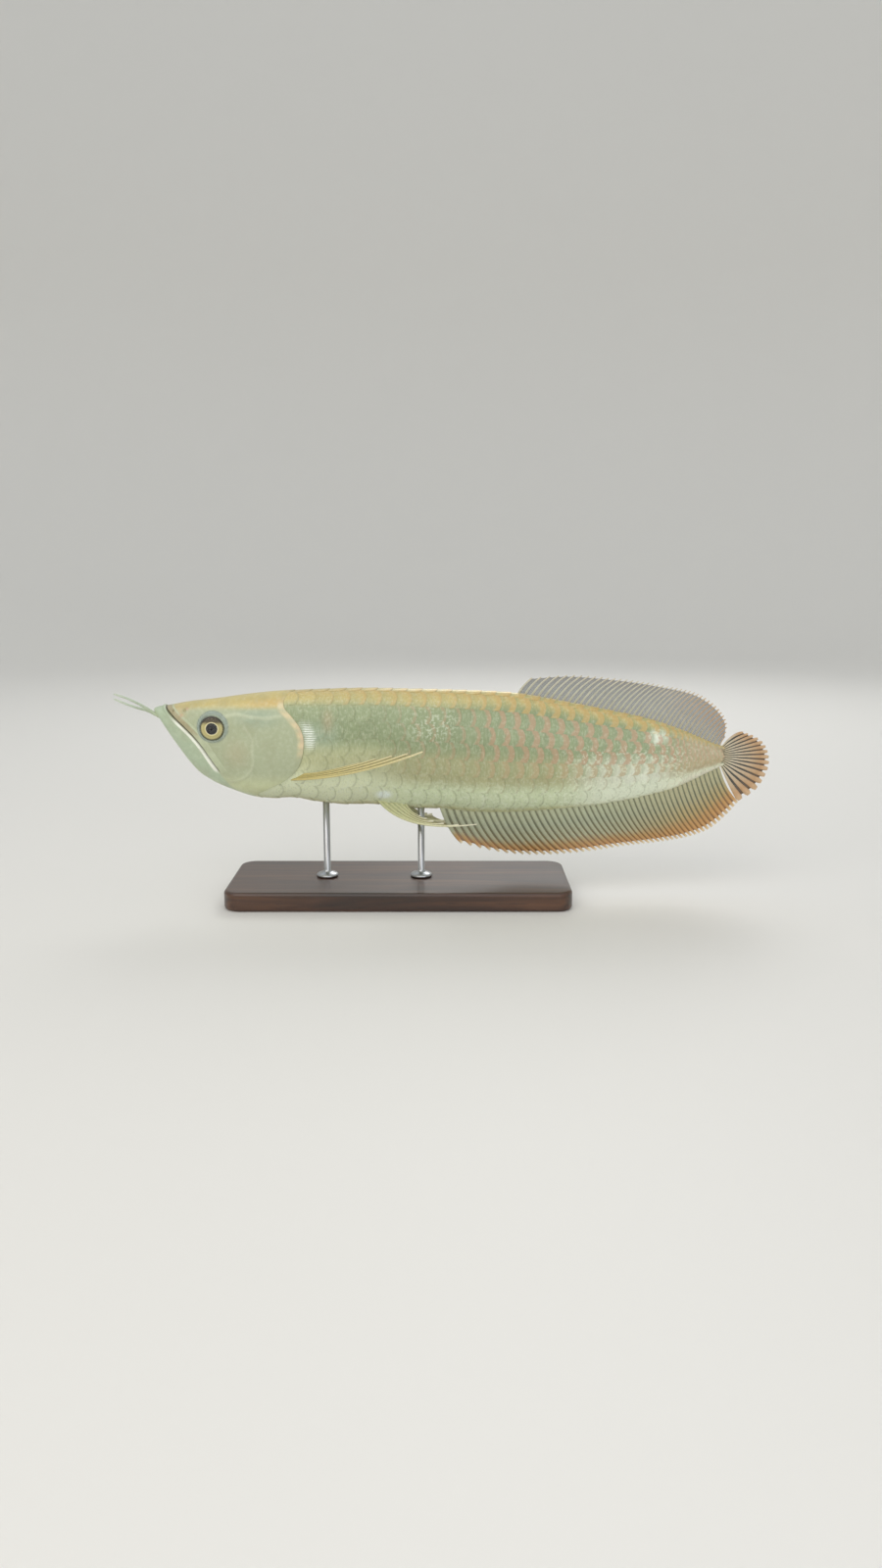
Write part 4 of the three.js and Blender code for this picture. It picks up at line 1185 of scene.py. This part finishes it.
@dataclass
class RayTubes:
    """Geometry Nodes that turn ray lines into tapered, flattened tubes."""

    sides: int = 10

    def tree(self, flatness: float, material: bpy.types.Material) -> bpy.types.NodeTree:
        """The node group.

        Args:
            flatness: the tubes' thickness over their width.
            material: their finish.

        Returns:
            The node tree, with named inputs.
        """
        tree = bpy.data.node_groups.new("ray tubes", "GeometryNodeTree")
        tree.interface.new_socket("Rays", in_out="INPUT", socket_type="NodeSocketGeometry")
        sides = tree.interface.new_socket("Sides", in_out="INPUT", socket_type="NodeSocketInt")
        sides.default_value = self.sides
        tree.interface.new_socket("Tubes", in_out="OUTPUT", socket_type="NodeSocketGeometry")

        def add(kind: str, inputs: dict, **settings) -> bpy.types.Node:
            """One geometry node with its settings and links."""
            return add_node(tree, "GeometryNode" + kind, inputs, settings)

        source = tree.nodes.new("NodeGroupInput")
        width = add("InputNamedAttribute", {"Name": "width"}, data_type="FLOAT")
        across = add("InputNamedAttribute", {"Name": "across"}, data_type="FLOAT_VECTOR")
        curve = add("MeshToCurve", {0: source.outputs["Rays"]})
        turned = add("SetCurveNormal", {"Curve": curve.outputs[0]}, mode="FREE")
        tree.links.new(across.outputs[0], turned.inputs["Normal"])
        circle = {"Resolution": source.outputs["Sides"], "Radius": 1.0}
        ring = add("CurvePrimitiveCircle", circle)
        flat = add("Transform", {0: ring.outputs[0], "Scale": (flatness, 1.0, 1.0)})
        tube = add("CurveToMesh", {
            "Curve": turned.outputs[0], "Profile Curve": flat.outputs[0], "Scale": width.outputs[0],
            "Fill Caps": True})
        smooth = add("SetShadeSmooth", {0: tube.outputs[0]})
        real = add("RealizeInstances", {0: smooth.outputs[0]})
        painted = add("SetMaterial", {0: real.outputs[0], "Material": material})
        target = tree.nodes.new("NodeGroupOutput")
        tree.links.new(painted.outputs[0], target.inputs[0])
        return tree

    def lines(self, name: str, rays: list, widths: list, across: list) -> bpy.types.Object:
        """The rays' middle lines, with what the tubes and their finish read from them.

        Args:
            name: the piece's name.
            rays: each ray's points as an (n, 3) array in fish coordinates.
            widths: each ray's half widths in millimetres.
            across: the fin's thickness direction at each ray.

        Returns:
            An object of edges, linked to the scene.
        """
        mesh = bpy.data.meshes.new(name + " lines")
        edges, start = [], 0
        for ray in rays:
            edges += [(start + i, start + i + 1) for i in range(len(ray) - 1)]
            start += len(ray)
        mesh.from_pydata(to_frame(np.concatenate(rays)).tolist(), edges, [])
        numbers = {
            "width": np.concatenate(widths).astype(np.float32) * MM,
            "along": np.concatenate([np.linspace(0, 1, len(ray)) for ray in rays]),
            "place": np.repeat(np.linspace(0, 1, len(rays)), len(rays[0]))}
        for key, values in numbers.items():
            layer = mesh.attributes.new(key, "FLOAT", "POINT")
            layer.data.foreach_set("value", values.astype(np.float32))
        directions = np.concatenate([np.tile(d, (len(ray), 1)) for d, ray in zip(across, rays)])
        layer = mesh.attributes.new("across", "FLOAT_VECTOR", "POINT")
        layer.data.foreach_set("vector", directions.astype(np.float32).ravel())
        lines = bpy.data.objects.new(name, mesh)
        bpy.context.scene.collection.objects.link(lines)
        return lines

    def build(self, lines: bpy.types.Object, flatness: float, material: bpy.types.Material) -> None:
        """Turns one fin's lines into a plain mesh of tubes.

        Args:
            lines: the rays' middle lines, whose mesh is replaced.
            flatness: the tubes' thickness over their width.
            material: their finish.
        """
        modifier = lines.modifiers.new("tubes", "NODES")
        modifier.node_group = self.tree(flatness, material)
        sides = modifier.node_group.interface.items_tree["Sides"].identifier
        modifier[sides] = self.sides
        graph = bpy.context.evaluated_depsgraph_get()
        made = bpy.data.meshes.new_from_object(lines.evaluated_get(graph))
        lines.modifiers.clear()
        made.name = lines.name
        lines.data = made
        if not made.materials:
            made.materials.append(material)


@dataclass
class Fin:
    """A fin of rays and web. Subclasses lay out the rays."""

    name: str
    ray_finish: RayFinish
    web_finish: MembraneFinish
    width_share: Curve
    flatness: float = 0.4
    lead: Optional[Curve] = None
    least: float = 0.16
    ray_reach: float = 0.99
    web_reach: float = 0.945
    web_half: float = 0.09
    sag: float = 0.05
    steps: int = 18
    between: int = 3

    def rays(self) -> list:
        """Each ray as a function from t to points."""
        raise NotImplementedError

    def across(self, rays: list) -> list:
        """The fin's thickness direction at each ray."""
        return [np.array([0.0, 1.0, 0.0])] * len(rays)

    def spacing(self, rays: list, t: np.ndarray) -> np.ndarray:
        """How far apart neighbouring rays are, square to them.

        Args:
            rays: the ray functions.
            t: where along them.

        Returns:
            A (ray, t) array in millimetres.
        """
        points = np.stack([ray(t) for ray in rays])
        along = np.gradient(points, axis=1)
        along /= np.maximum(np.linalg.norm(along, axis=2, keepdims=True), TINY)
        step = np.diff(points, axis=0)
        direction = (along[1:] + along[:-1]) / 2
        square = step - (step * direction).sum(2, keepdims=True) * direction
        gaps = np.linalg.norm(square, axis=2)
        return np.concatenate([gaps[:1], (gaps[1:] + gaps[:-1]) / 2, gaps[-1:]])

    def widths(self, rays: list, t: np.ndarray) -> list:
        """Each ray's half widths along it. lead, if any, is the least half width of the first."""
        share = self.width_share(t)
        made = [np.maximum(0.5 * share * gap, self.least) for gap in self.spacing(rays, t)]
        if self.lead is not None:
            made[0] = np.maximum(made[0], self.lead(t))
        return made

    def build(self) -> list:
        """Makes the fin's rays and web.

        Returns:
            The two pieces. The web stands for the fin's node.
        """
        rays = self.rays()
        t = np.linspace(0, self.ray_reach, self.steps)
        across = self.across(rays)
        maker = RayTubes()
        lines = [ray(t) for ray in rays]
        tubes = maker.lines(self.name + "_rays", lines, self.widths(rays, t), across)
        maker.build(tubes, self.flatness, self.ray_finish.build())
        web = self.web(rays, across)
        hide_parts(self.name)
        log.info("%s: %d rays, %d faces", self.name, len(rays), len(tubes.data.polygons))
        return [tubes, web]

    def web(self, rays: list, across: list) -> bpy.types.Object:
        """The thin web that joins the rays.

        Args:
            rays: the ray functions.
            across: the fin's thickness direction at each ray.

        Returns:
            A closed sheet whose edge sags a little between the rays.
        """
        t = np.linspace(0, self.web_reach, self.steps)
        lines = np.stack([ray(t) for ray in rays])
        normals = np.stack(across)
        rows, facing = [], []
        for i in range(len(rays) - 1):
            for k in range(self.between + 1):
                f = k / (self.between + 1)
                sag = 1 - self.sag * math.sin(math.pi * f)
                short = np.stack([rays[i](t * sag), rays[i + 1](t * sag)])
                rows.append(short[0] * (1 - f) + short[1] * f)
                facing.append(normals[i] * (1 - f) + normals[i + 1] * f)
        rows.append(lines[-1])
        facing.append(normals[-1])
        sheet = np.stack(rows)
        out = np.stack(facing)[:, None, :]
        front = sheet - self.web_half * out
        rear = sheet + self.web_half * out
        n, m = sheet.shape[:2]
        faces = grid_faces(n, m, False, flip=True).tolist()
        faces += grid_faces(n, m, False, start=n * m).tolist()
        faces += border_faces(n, m).tolist()
        points = np.concatenate([front.reshape(-1, 3), rear.reshape(-1, 3)])
        parts = MeshParts(points, faces, scalars={"along": np.tile(t, 2 * n)})
        return make_piece(self.name + "_web", parts, self.web_finish.build())


CROWDING = 0.3
ROOT_SUNK = 2.5
WAVE_HEIGHT = 2.4
WAVE_LENGTH = 95.0


@dataclass
class MedianFin(Fin):
    """A long fin on the midline of back or belly."""

    count: int = 0
    start: float = 0.0
    end: float = 0.0
    edge: Optional[Curve] = None
    up: int = 1
    sweep: Optional[Curve] = None
    tip_z: Optional[Curve] = None
    phase: float = 0.0
    knee: tuple = (0.36, 0.64)

    def rays(self) -> list:
        """Rays that crowd towards the tail, with their tips behind their roots."""
        made = []
        for f in np.linspace(0, 1, self.count):
            x = self.start + (self.end - self.start) * (f * (1 + CROWDING) - CROWDING * f * f)
            tip_x = x + float(self.sweep(f))
            wave = WAVE_HEIGHT * math.sin(2 * math.pi * tip_x / WAVE_LENGTH + self.phase)
            root = np.array([x, 0.0, float(self.edge(x)) - self.up * ROOT_SUNK])
            tip = np.array([tip_x, wave, float(self.tip_z(f))])
            knee_z = root[2] + (tip[2] - root[2]) * self.knee[1]
            knee = np.array([x + (tip_x - x) * self.knee[0], 0.0, knee_z])
            made.append(bent_ray(root, knee, tip))
        return made


@dataclass
class CaudalFin(Fin):
    """The small round tail fin."""

    count: int = 15
    root_top: float = 2.6
    root_depth: float = 11.6
    tip_x: Curve = field(default_factory=lambda: Curve(
        (0, 433.4), (0.15, 441.6), (0.3, 449.4), (0.45, 453.4), (0.6, 454), (0.75, 450.2),
        (0.88, 443.8), (1, 433.4)))
    tip_z: Curve = field(default_factory=lambda: Curve(
        (0, 14.2), (0.15, 11.4), (0.3, 6), (0.45, -1.6), (0.6, -10.6), (0.75, -20.6), (0.88, -29.4),
        (1, -36.2)))

    def rays(self) -> list:
        """Rays that fan from the end of the body: the upper ones arch, the lowest hang down."""
        made = []
        for f in np.linspace(0, 1, self.count):
            root = np.array([PEDUNCLE_END - 2, 0.0, self.root_top - self.root_depth * f])
            tip = np.array([float(self.tip_x(f)), 1.6 * math.sin(5 * f), float(self.tip_z(f))])
            arch = 0.42 + 0.53 * (1 - f) ** 6
            droop = 0.5 - 0.2 * f**3
            knee_x = root[0] + (tip[0] - root[0]) * droop
            knee = np.array([knee_x, 0.0, root[2] + (tip[2] - root[2]) * arch])
            made.append(bent_ray(root, knee, tip))
        return made


@dataclass
class PairedFin(Fin):
    """A fin of one side. Its rays run between the tables' first and last."""

    side: Side = Side.LEFT
    count: int = 7
    roots: tuple = ()
    knees: tuple = ()
    tips: tuple = ()

    def table(self, rows: tuple, f: float) -> np.ndarray:
        """The point of a table of (share, x, out, z) rows at share f."""
        return np.array([float(Curve(*[(row[0], row[k]) for row in rows])(f)) for k in (1, 2, 3)])

    def rays(self) -> list:
        """Rays from the skin out to the fin's edge."""
        side = self.side.value
        made = []
        for f in np.linspace(0, 1, self.count):
            x, sunk, z = self.table(self.roots, f)
            root = np.array([x, side * (float(FORM.width_at(x, z)) - sunk), z])
            knee = self.table(self.knees, f) * (1, side, 1)
            tip = self.table(self.tips, f) * (1, side, 1)
            made.append(bent_ray(root, knee, tip))
        return made

    def across(self, rays: list) -> list:
        """Square to each ray and to the line through its neighbours."""
        found = []
        for i, ray in enumerate(rays):
            before, after = rays[max(0, i - 1)], rays[min(len(rays) - 1, i + 1)]
            normal = np.cross(ray(0.75) - ray(0.1), after(0.5) - before(0.5))
            found.append(normal / np.linalg.norm(normal))
        return found


@dataclass
class Eye:
    """An eyeball with painted rings under a clear cornea."""

    side: Side
    sunk: float = 3.1
    ball_height: float = 2.4
    ball_back: float = 3.0
    cornea_height: float = 3.3
    cornea_margin: float = 0.4

    def dome(self, radius: float, height: float, inner: float, count: int = 40) -> MeshParts:
        """A closed dome that looks outwards.

        Args:
            radius: of its rim.
            height: how far its top stands out from its rim.
            inner: how far its flat back lies behind its rim.
            count: steps round it.

        Returns:
            Its mesh parts with the eye's map.
        """
        side = self.side.value
        base_y = float(FORM.width_at(EYE.x, EYE.z)) + EYE.bulge - self.sunk
        radii = np.linspace(0, 1, 16)[1:]
        points, uvs = [(EYE.ball_x, side * (base_y + height), EYE.ball_z)], [(0.0, 0.5)]
        for r in radii:
            y = base_y + height * math.sqrt(max(0.0, 1 - r**2))
            for turn in turns(count):
                points.append((EYE.ball_x + radius * r * math.cos(turn), side * y,
                               EYE.ball_z + radius * r * math.sin(turn)))
                uvs.append((r, 0.5 + 0.5 * r * math.sin(turn)))
        points.append((EYE.ball_x, side * (base_y - inner), EYE.ball_z))
        uvs.append((1.0, 0.5))
        faces = fan_faces(0, 1, count)
        faces += grid_faces(len(radii), count, True, start=1, flip=True).tolist()
        last = 1 + (len(radii) - 1) * count
        faces += [(b, a, c) for a, b, c in fan_faces(len(points) - 1, last, count)]
        if side < 0:
            faces = [tuple(face)[::-1] for face in faces]
        return MeshParts(np.array(points), faces, uvs={"EyeMap": np.array(uvs)})

    def build(self, iris: bpy.types.Material, cornea: bpy.types.Material) -> list:
        """Makes the eyeball and its cornea."""
        tag = self.side.name.lower()
        ball = self.dome(EYE.ball, self.ball_height, self.ball_back)
        ball = make_piece(f"eyeball_{tag}", ball, iris)
        clear = self.dome(EYE.ball + self.cornea_margin, self.cornea_height, self.cornea_margin)
        clear = make_piece(f"cornea_{tag}", clear, cornea)
        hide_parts(f"eye_{tag}")
        return [ball, clear]


@dataclass
class Barbel:
    """A fleshy feeler that grows from the chin and tapers to a soft point."""

    side: Side
    sides: int = 14
    steps: int = 60
    radius: float = 1.25
    taper: float = 0.6
    ripple: float = 0.04

    def path(self) -> np.ndarray:
        """The feeler's middle line, the same as in the solids."""
        left = ((9.4, 2.6, 26.6), (5.4, 3.4, 28.4), (-0.6, 5, 32.8), (-7.2, 6.8, 37.2),
                (-15, 8.8, 41.4), (-23.6, 11, 44.8))
        right = ((9.4, 2.6, 24.8), (5, 3.4, 26.6), (-4.5, 5.4, 30.8), (-11.6, 6.8, 32.4),
                 (-19.6, 8.6, 34.8), (-30, 11, 38.6))
        rows = np.array(left if self.side is Side.LEFT else right) * (1, self.side.value, 1)
        reach = np.concatenate([[0], np.cumsum(np.linalg.norm(np.diff(rows, axis=0), axis=1))])
        t = np.linspace(0, reach[-1], self.steps)
        return np.stack([Curve(*zip(reach, rows[:, k]))(t) for k in range(3)], 1)

    def build(self, material: bpy.types.Material) -> bpy.types.Object:
        """Makes the feeler."""
        path = self.path()
        t = np.linspace(0, 1, self.steps)
        radius = self.radius - self.taper * t + self.ripple * np.sin(60 * t)
        radius[-3:] *= (0.9, 0.7, 0.3)
        along = np.gradient(path, axis=0)
        along /= np.linalg.norm(along, axis=1, keepdims=True)
        first = np.cross(along, (0, 0, 1.0))
        first /= np.linalg.norm(first, axis=1, keepdims=True)
        second = np.cross(along, first)
        cosine = np.cos(turns(self.sides))[None, :, None]
        sine = np.sin(turns(self.sides))[None, :, None]
        round_path = first[:, None] * cosine + second[:, None] * sine
        rings = path[:, None] + radius[:, None, None] * round_path
        points = np.concatenate([rings.reshape(-1, 3), path[:1], path[-1:]])
        faces = grid_faces(self.steps, self.sides, True).tolist()
        size = self.steps * self.sides
        faces += fan_faces(size, 0, self.sides)
        faces += [(a, c, b) for a, b, c in fan_faces(size + 1, size - self.sides, self.sides)]
        scalars = {"along": np.concatenate([np.repeat(t, self.sides), [0, 1]])}
        tag = self.side.name.lower()
        piece = make_piece(f"feeler_{tag}", MeshParts(points, faces, None, scalars), material)
        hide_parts(f"barbel_{tag}")
        return piece


@dataclass
class Stand:
    """The flat base and its two rods."""

    length: float = 250.0
    width: float = 92.0
    height: float = 14.0
    corner: float = 12.0
    bevel: float = 2.5
    rod_radius: float = 2.5
    rods: tuple = (("front", 126.0), ("rear", 196.0))
    foot_profile: tuple = (
        (7.7, 0.0), (8.0, 0.3), (8.0, 1.4), (7.8, 1.7), (6.8, 2.4), (4.2, 3.2), (3.0, 3.9))
    collar: float = 5.0

    def base(self, material: bpy.types.Material) -> bpy.types.Object:
        """The wooden base, a rounded slab with eased edges."""
        outline = []
        reach_x, reach_y = self.length / 2 - self.corner, self.width / 2 - self.corner
        for k, (cx, cy) in enumerate(((1, -1), (1, 1), (-1, 1), (-1, -1))):
            for turn in np.linspace(-math.pi / 2, 0, 13) + k * math.pi / 2:
                outline.append((cx * reach_x, cy * reach_y, turn))
        rows = []
        arc = np.linspace(0, math.pi / 2, 7)
        levels = [(self.bevel * (1 - math.sin(q)), self.bevel * (1 - math.cos(q))) for q in arc]
        profile = levels + [(inset, self.height - rise) for inset, rise in reversed(levels)]
        for inset, z in profile:
            reach = self.corner - inset
            rows.append([(x + reach * math.cos(q), y + reach * math.sin(q), z) for x, y, q in outline])
        ring = len(outline)
        points = np.array(rows).reshape(-1, 3)
        faces = grid_faces(len(rows), ring, True).tolist()
        faces += [tuple(range(ring))[::-1], tuple(range((len(rows) - 1) * ring, len(rows) * ring))]
        piece = make_piece("base", MeshParts(points * MM, faces), material, smooth=False, in_frame=True)
        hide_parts("stand_base")
        return piece

    def rod(self, tag: str, x: float, material: bpy.types.Material) -> bpy.types.Object:
        """One steel rod with a turned foot, up to the belly."""
        foot = self.height + 0.3 - AXIS_HEIGHT
        top = float(FORM.belly(x)) + 0.6
        r = self.rod_radius
        outline = [(radius, foot + rise) for radius, rise in self.foot_profile]
        outline += [(r, foot + self.collar), (r, top)]
        count = 48
        rings = [[(x + q * math.cos(w), q * math.sin(w), z) for w in turns(count)] for q, z in outline]
        points = np.array([(x, 0, foot)] + [p for ring in rings for p in ring] + [(x, 0, top)])
        faces = grid_faces(len(rings), count, True, start=1).tolist()
        last = 1 + (len(rings) - 1) * count
        faces += fan_faces(0, 1, count)
        faces += [(a, c, b) for a, b, c in fan_faces(len(points) - 1, last, count)]
        piece = make_piece(f"rod_{tag}", MeshParts(points, faces), material)
        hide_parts(f"stand_rod_{tag}")
        return piece

    def build(self, wood: bpy.types.Material, steel: bpy.types.Material) -> list:
        """Makes the whole stand."""
        return [self.base(wood)] + [self.rod(tag, x, steel) for tag, x in self.rods]


@dataclass
class Studio:
    """A pale round floor that curves up into a wall, soft lights, and the camera."""

    floor_radius: float = 2.0
    curve_radius: float = 1.2
    wall_height: float = 2.6
    elevation: float = 11.0
    distance: float = 0.83
    target: tuple = (0.0307, 0.0, 0.095)
    focal_px: float = 1154.0
    photo_height_px: float = 1600.0
    sensor_mm: float = 36.0
    drop: float = 0.0108
    sky: str = "#E4E8EC"
    sky_strength: float = 0.95
    lights: tuple = (
        ("key", (-0.6, -1.2, 1.1), 1.5, 10.0, "#FFF8EE"),
        ("fill", (0.5, -1.3, 0.15), 1.2, 5.0, "#F2F6FF"),
        ("back", (0.3, 1.3, 1.1), 0.8, 6.0, "#FFFFFF"))

    def floor(self, material: bpy.types.Material) -> bpy.types.Object:
        """The floor and its wall as one turned surface."""
        profile = [(0.02, 0.0), (self.floor_radius / 2, 0.0), (self.floor_radius, 0.0)]
        for q in np.linspace(0, math.pi / 2, 13)[1:]:
            profile.append((self.floor_radius + self.curve_radius * math.sin(q),
                            self.curve_radius * (1 - math.cos(q))))
        profile.append((profile[-1][0], self.wall_height))
        count = 96
        points = np.array([
            (r * math.cos(w), r * math.sin(w), z) for r, z in profile for w in turns(count)])
        faces = grid_faces(len(profile), count, True, flip=True).tolist() + [tuple(range(count))]
        return make_piece("floor", MeshParts(points, faces), material, in_frame=True)

    def light(self, name: str, place: tuple, size: float, power: float, colour: str) -> None:
        """A square soft light that looks at the fish.

        Args:
            name: the light's name.
            place: where it hangs, in metres.
            size: its side in metres.
            power: its power in watts.
            colour: its tint.
        """
        data = bpy.data.lights.new(name, "AREA")
        data.size = size
        data.energy = power
        data.color = linear(colour)
        lamp = bpy.data.objects.new(name, data)
        lamp.location = place
        lamp.rotation_euler = (Vector(self.target) - Vector(place)).to_track_quat("-Z", "Y").to_euler()
        lamp.visible_camera = False
        bpy.context.scene.collection.objects.link(lamp)

    def camera(self) -> None:
        """The camera at the photo's angle, with the fish at the photo's place and size."""
        data = bpy.data.cameras.new("camera")
        data.sensor_width = self.sensor_mm
        data.lens = self.focal_px * self.sensor_mm / self.photo_height_px
        tilt = math.radians(self.elevation)
        forward = Vector((0, math.cos(tilt), -math.sin(tilt)))
        up = Vector((0, math.sin(tilt), math.cos(tilt)))
        eye = Vector(self.target) - forward * self.distance - up * self.drop
        camera = bpy.data.objects.new("camera", data)
        camera.location = eye
        camera.rotation_euler = forward.to_track_quat("-Z", "Y").to_euler()
        bpy.context.scene.collection.objects.link(camera)
        bpy.context.scene.camera = camera

    def build(self) -> None:
        """Sets the stage."""
        floor = self.floor(FLOOR.build())
        world = bpy.data.worlds.new("studio")
        world.use_nodes = True
        background = world.node_tree.nodes["Background"]
        background.inputs[0].default_value = rgba(self.sky)
        background.inputs[1].default_value = self.sky_strength
        bpy.context.scene.world = world
        for light in self.lights:
            self.light(*light)
        self.camera()
        bpy.context.scene.view_settings.view_transform = "Standard"


ANAL_RAYS = RayFinish(
    "anal rays",
    ((0.0, "#B9BE9D"), (0.3, "#A6AC92"), (0.6, "#AAAA8C"), (0.76, "#B3935F"), (0.87, "#BD8C54"),
     (0.94, "#CFB085"), (1.0, "#E6DABD")),
    ((0.0, "#B9B692"), (0.3, "#AFAA86"), (0.55, "#B59E6C"), (0.7, "#BE935A"), (0.87, "#C3945A"),
     (0.94, "#D0AE80"), (1.0, "#E0CDA8")))
ANAL_WEB = MembraneFinish("anal web", (
    (0.0, "#8D9070"), (0.3, "#6F7356"), (0.6, "#74683F"), (0.8, "#94672F"), (1.0, "#9A6A35")), 0.85)
DORSAL_RAYS = RayFinish(
    "dorsal rays",
    ((0.0, "#B9B595"), (0.3, "#C6C3AE"), (0.7, "#CBC6B2"), (1.0, "#D2C8B0")),
    ((0.0, "#B5AE8C"), (0.3, "#BDB096"), (0.7, "#BE9A76"), (0.9, "#C09A6E"), (1.0, "#CDB28C")))
DORSAL_WEB = MembraneFinish("dorsal web", ((0.0, "#5C6156"), (0.6, "#4C524A"), (1.0, "#5E594C")), 0.42)
TAIL_RAYS = RayFinish("tail rays", (
    (0.0, "#CBBF98"), (0.3, "#CCC0A8"), (0.62, "#C7AE8E"), (0.84, "#C29A70"), (1.0, "#CFB08C")))
TAIL_WEB = MembraneFinish("tail web", ((0.0, "#45443A"), (0.6, "#3E3D34"), (1.0, "#6A4E30")), 0.85)
GOLD_RAYS = RayFinish("gold rays", (
    (0.0, "#C2B271"), (0.4, "#D2C588"), (0.8, "#D9CC96"), (1.0, "#E3D8AC")))
GOLD_WEB = MembraneFinish("gold web", ((0.0, "#B0A15C"), (0.5, "#A3955C"), (1.0, "#A39A66")), 0.9)
PALE_RAYS = RayFinish("pale rays", (
    (0.0, "#C4C795"), (0.4, "#CFCFA0"), (0.8, "#DFDCB8"), (1.0, "#EBE7CF")))
PALE_WEB = MembraneFinish("pale web", ((0.0, "#B4BA88"), (0.5, "#B0AE7C"), (1.0, "#ABA577")), 0.9)
BARBEL = RayFinish("barbel", ((0.0, "#BCC8A6"), (0.5, "#B2C0A8"), (1.0, "#C9D4BF")))
CORNEA = PlainFinish("cornea", "#FFFFFF", 0.03, alpha=0.05)
STEEL = PlainFinish("steel", "#B4B6B8", 0.28, 1.0)
FLOOR = PlainFinish("floor", "#E4E2DD", 0.6)


def median_fins() -> list:
    """The fins on the midline, the same as in the solids but with all their rays."""
    dorsal = MedianFin(
        "dorsal_fin", DORSAL_RAYS, DORSAL_WEB, Curve((0, 0.4), (0.5, 0.34), (1, 0.32)), 0.8,
        ray_reach=0.97, web_reach=0.94, count=42, start=266, end=415.5, edge=FORM.back, up=1,
        phase=0.6,
        sweep=Curve((0, 11), (0.1, 18.5), (0.22, 22), (0.5, 23.5), (0.72, 21.5), (0.85, 18),
                    (0.93, 13), (1, 4.4)),
        tip_z=Curve((0, 55.2), (0.1, 57), (0.22, 55.8), (0.5, 49.2), (0.72, 40.8), (0.85, 29.8),
                    (0.93, 21.2), (1, 11.4)))
    anal = MedianFin(
        "anal_fin", ANAL_RAYS, ANAL_WEB, Curve((0, 0.76), (0.5, 0.68), (0.85, 0.66), (1, 0.6)), 0.4,
        web_reach=0.93, count=50, start=211, end=415, edge=FORM.belly, up=-1, phase=2.2,
        knee=(0.36, 0.68),
        sweep=Curve((0, 15.5), (0.1, 23.5), (0.2, 26), (0.3, 26.5), (0.44, 26), (0.6, 24),
                    (0.75, 21.5), (0.93, 18), (1, 16)),
        tip_z=Curve((0, -67), (0.1, -75.6), (0.2, -77), (0.3, -74.8), (0.44, -71.2), (0.6, -68.6),
                    (0.75, -63.6), (0.85, -57), (0.93, -47.6), (1, -38.4)))
    caudal = CaudalFin(
        "caudal_fin", TAIL_RAYS, TAIL_WEB,
        Curve((0, 0.75), (0.5, 0.64), (0.85, 0.72), (0.96, 0.68), (1, 0.4)), 0.4, web_reach=0.96)
    return [dorsal, anal, caudal]


def paired_fins(side: Side) -> list:
    """One side's pectoral and pelvic fins. The right pelvic fin trails further back and lower."""
    tag = side.name.lower()
    more = 14.0 if side is Side.RIGHT else 0.0
    pectoral = PairedFin(
        f"pectoral_fin_{tag}", GOLD_RAYS, GOLD_WEB,
        Curve((0, 0.7), (0.5, 0.6), (0.85, 0.45), (1, 0.22)), 0.6,
        lead=Curve((0, 1.1), (0.6, 0.85), (1, 0.35)), least=0.26, ray_reach=0.97, web_reach=0.96,
        side=side, count=8,
        roots=((0, 99.2, 3, -17.8), (1, 107.2, 3, -13.4)),
        knees=((0, 147, 42.5, -12.2), (0.5, 132, 28.5, -9.4), (1, 120, 20.5, -11)),
        tips=((0, 201.5, 51.6, 10.8), (0.2, 186, 42, 7), (0.45, 165, 31.5, 1.4),
              (0.7, 146, 25, -4.4), (1, 128, 21.6, -10)))
    pelvic = PairedFin(
        f"pelvic_fin_{tag}", PALE_RAYS, PALE_WEB, Curve((0, 0.7), (0.5, 0.55), (1, 0.5)), 0.6,
        lead=Curve((0, 1.1), (0.5, 0.9), (1, 0.4)), least=0.26, ray_reach=0.98, side=side, count=6,
        roots=((0, 164.5, 1.5, -34.2), (1, 184, 1.5, -36.6)),
        knees=((0, 184, 9.6, -58.4), (0.5, 192, 9, -52.6), (1, 190, 8.4, -44.4)),
        tips=((0, 239 + more, 13, -50.2 - more * 0.8), (0.25, 222 + more, 11.6, -50.8 - more * 0.7),
              (0.5, 209, 10.2, -49.4), (0.75, 202, 9.4, -47.2), (1, 196, 8.8, -45.2)))
    return [pectoral, pelvic]


def main() -> None:
    """Builds the pieces in order and sets the stage."""
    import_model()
    pieces = [Skin().build(SkinFinish().build())]
    scales = ScaleFinish().build()
    pieces += [ScaleCoat().build(scales, side) for side in Side]
    for fin in median_fins() + paired_fins(Side.LEFT) + paired_fins(Side.RIGHT):
        pieces += fin.build()
    iris = EyeFinish().build()
    cornea = CORNEA.build()
    feeler = BARBEL.build()
    for side in Side:
        pieces += Eye(side).build(iris, cornea)
        pieces.append(Barbel(side).build(feeler))
    pieces += Stand().build(WoodFinish().build(), STEEL.build())
    for piece in pieces:
        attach(piece, "root")
        log.info("%s: %d faces", piece.name, len(piece.data.polygons))
    Studio().build()


if __name__ == "__main__":
    main()
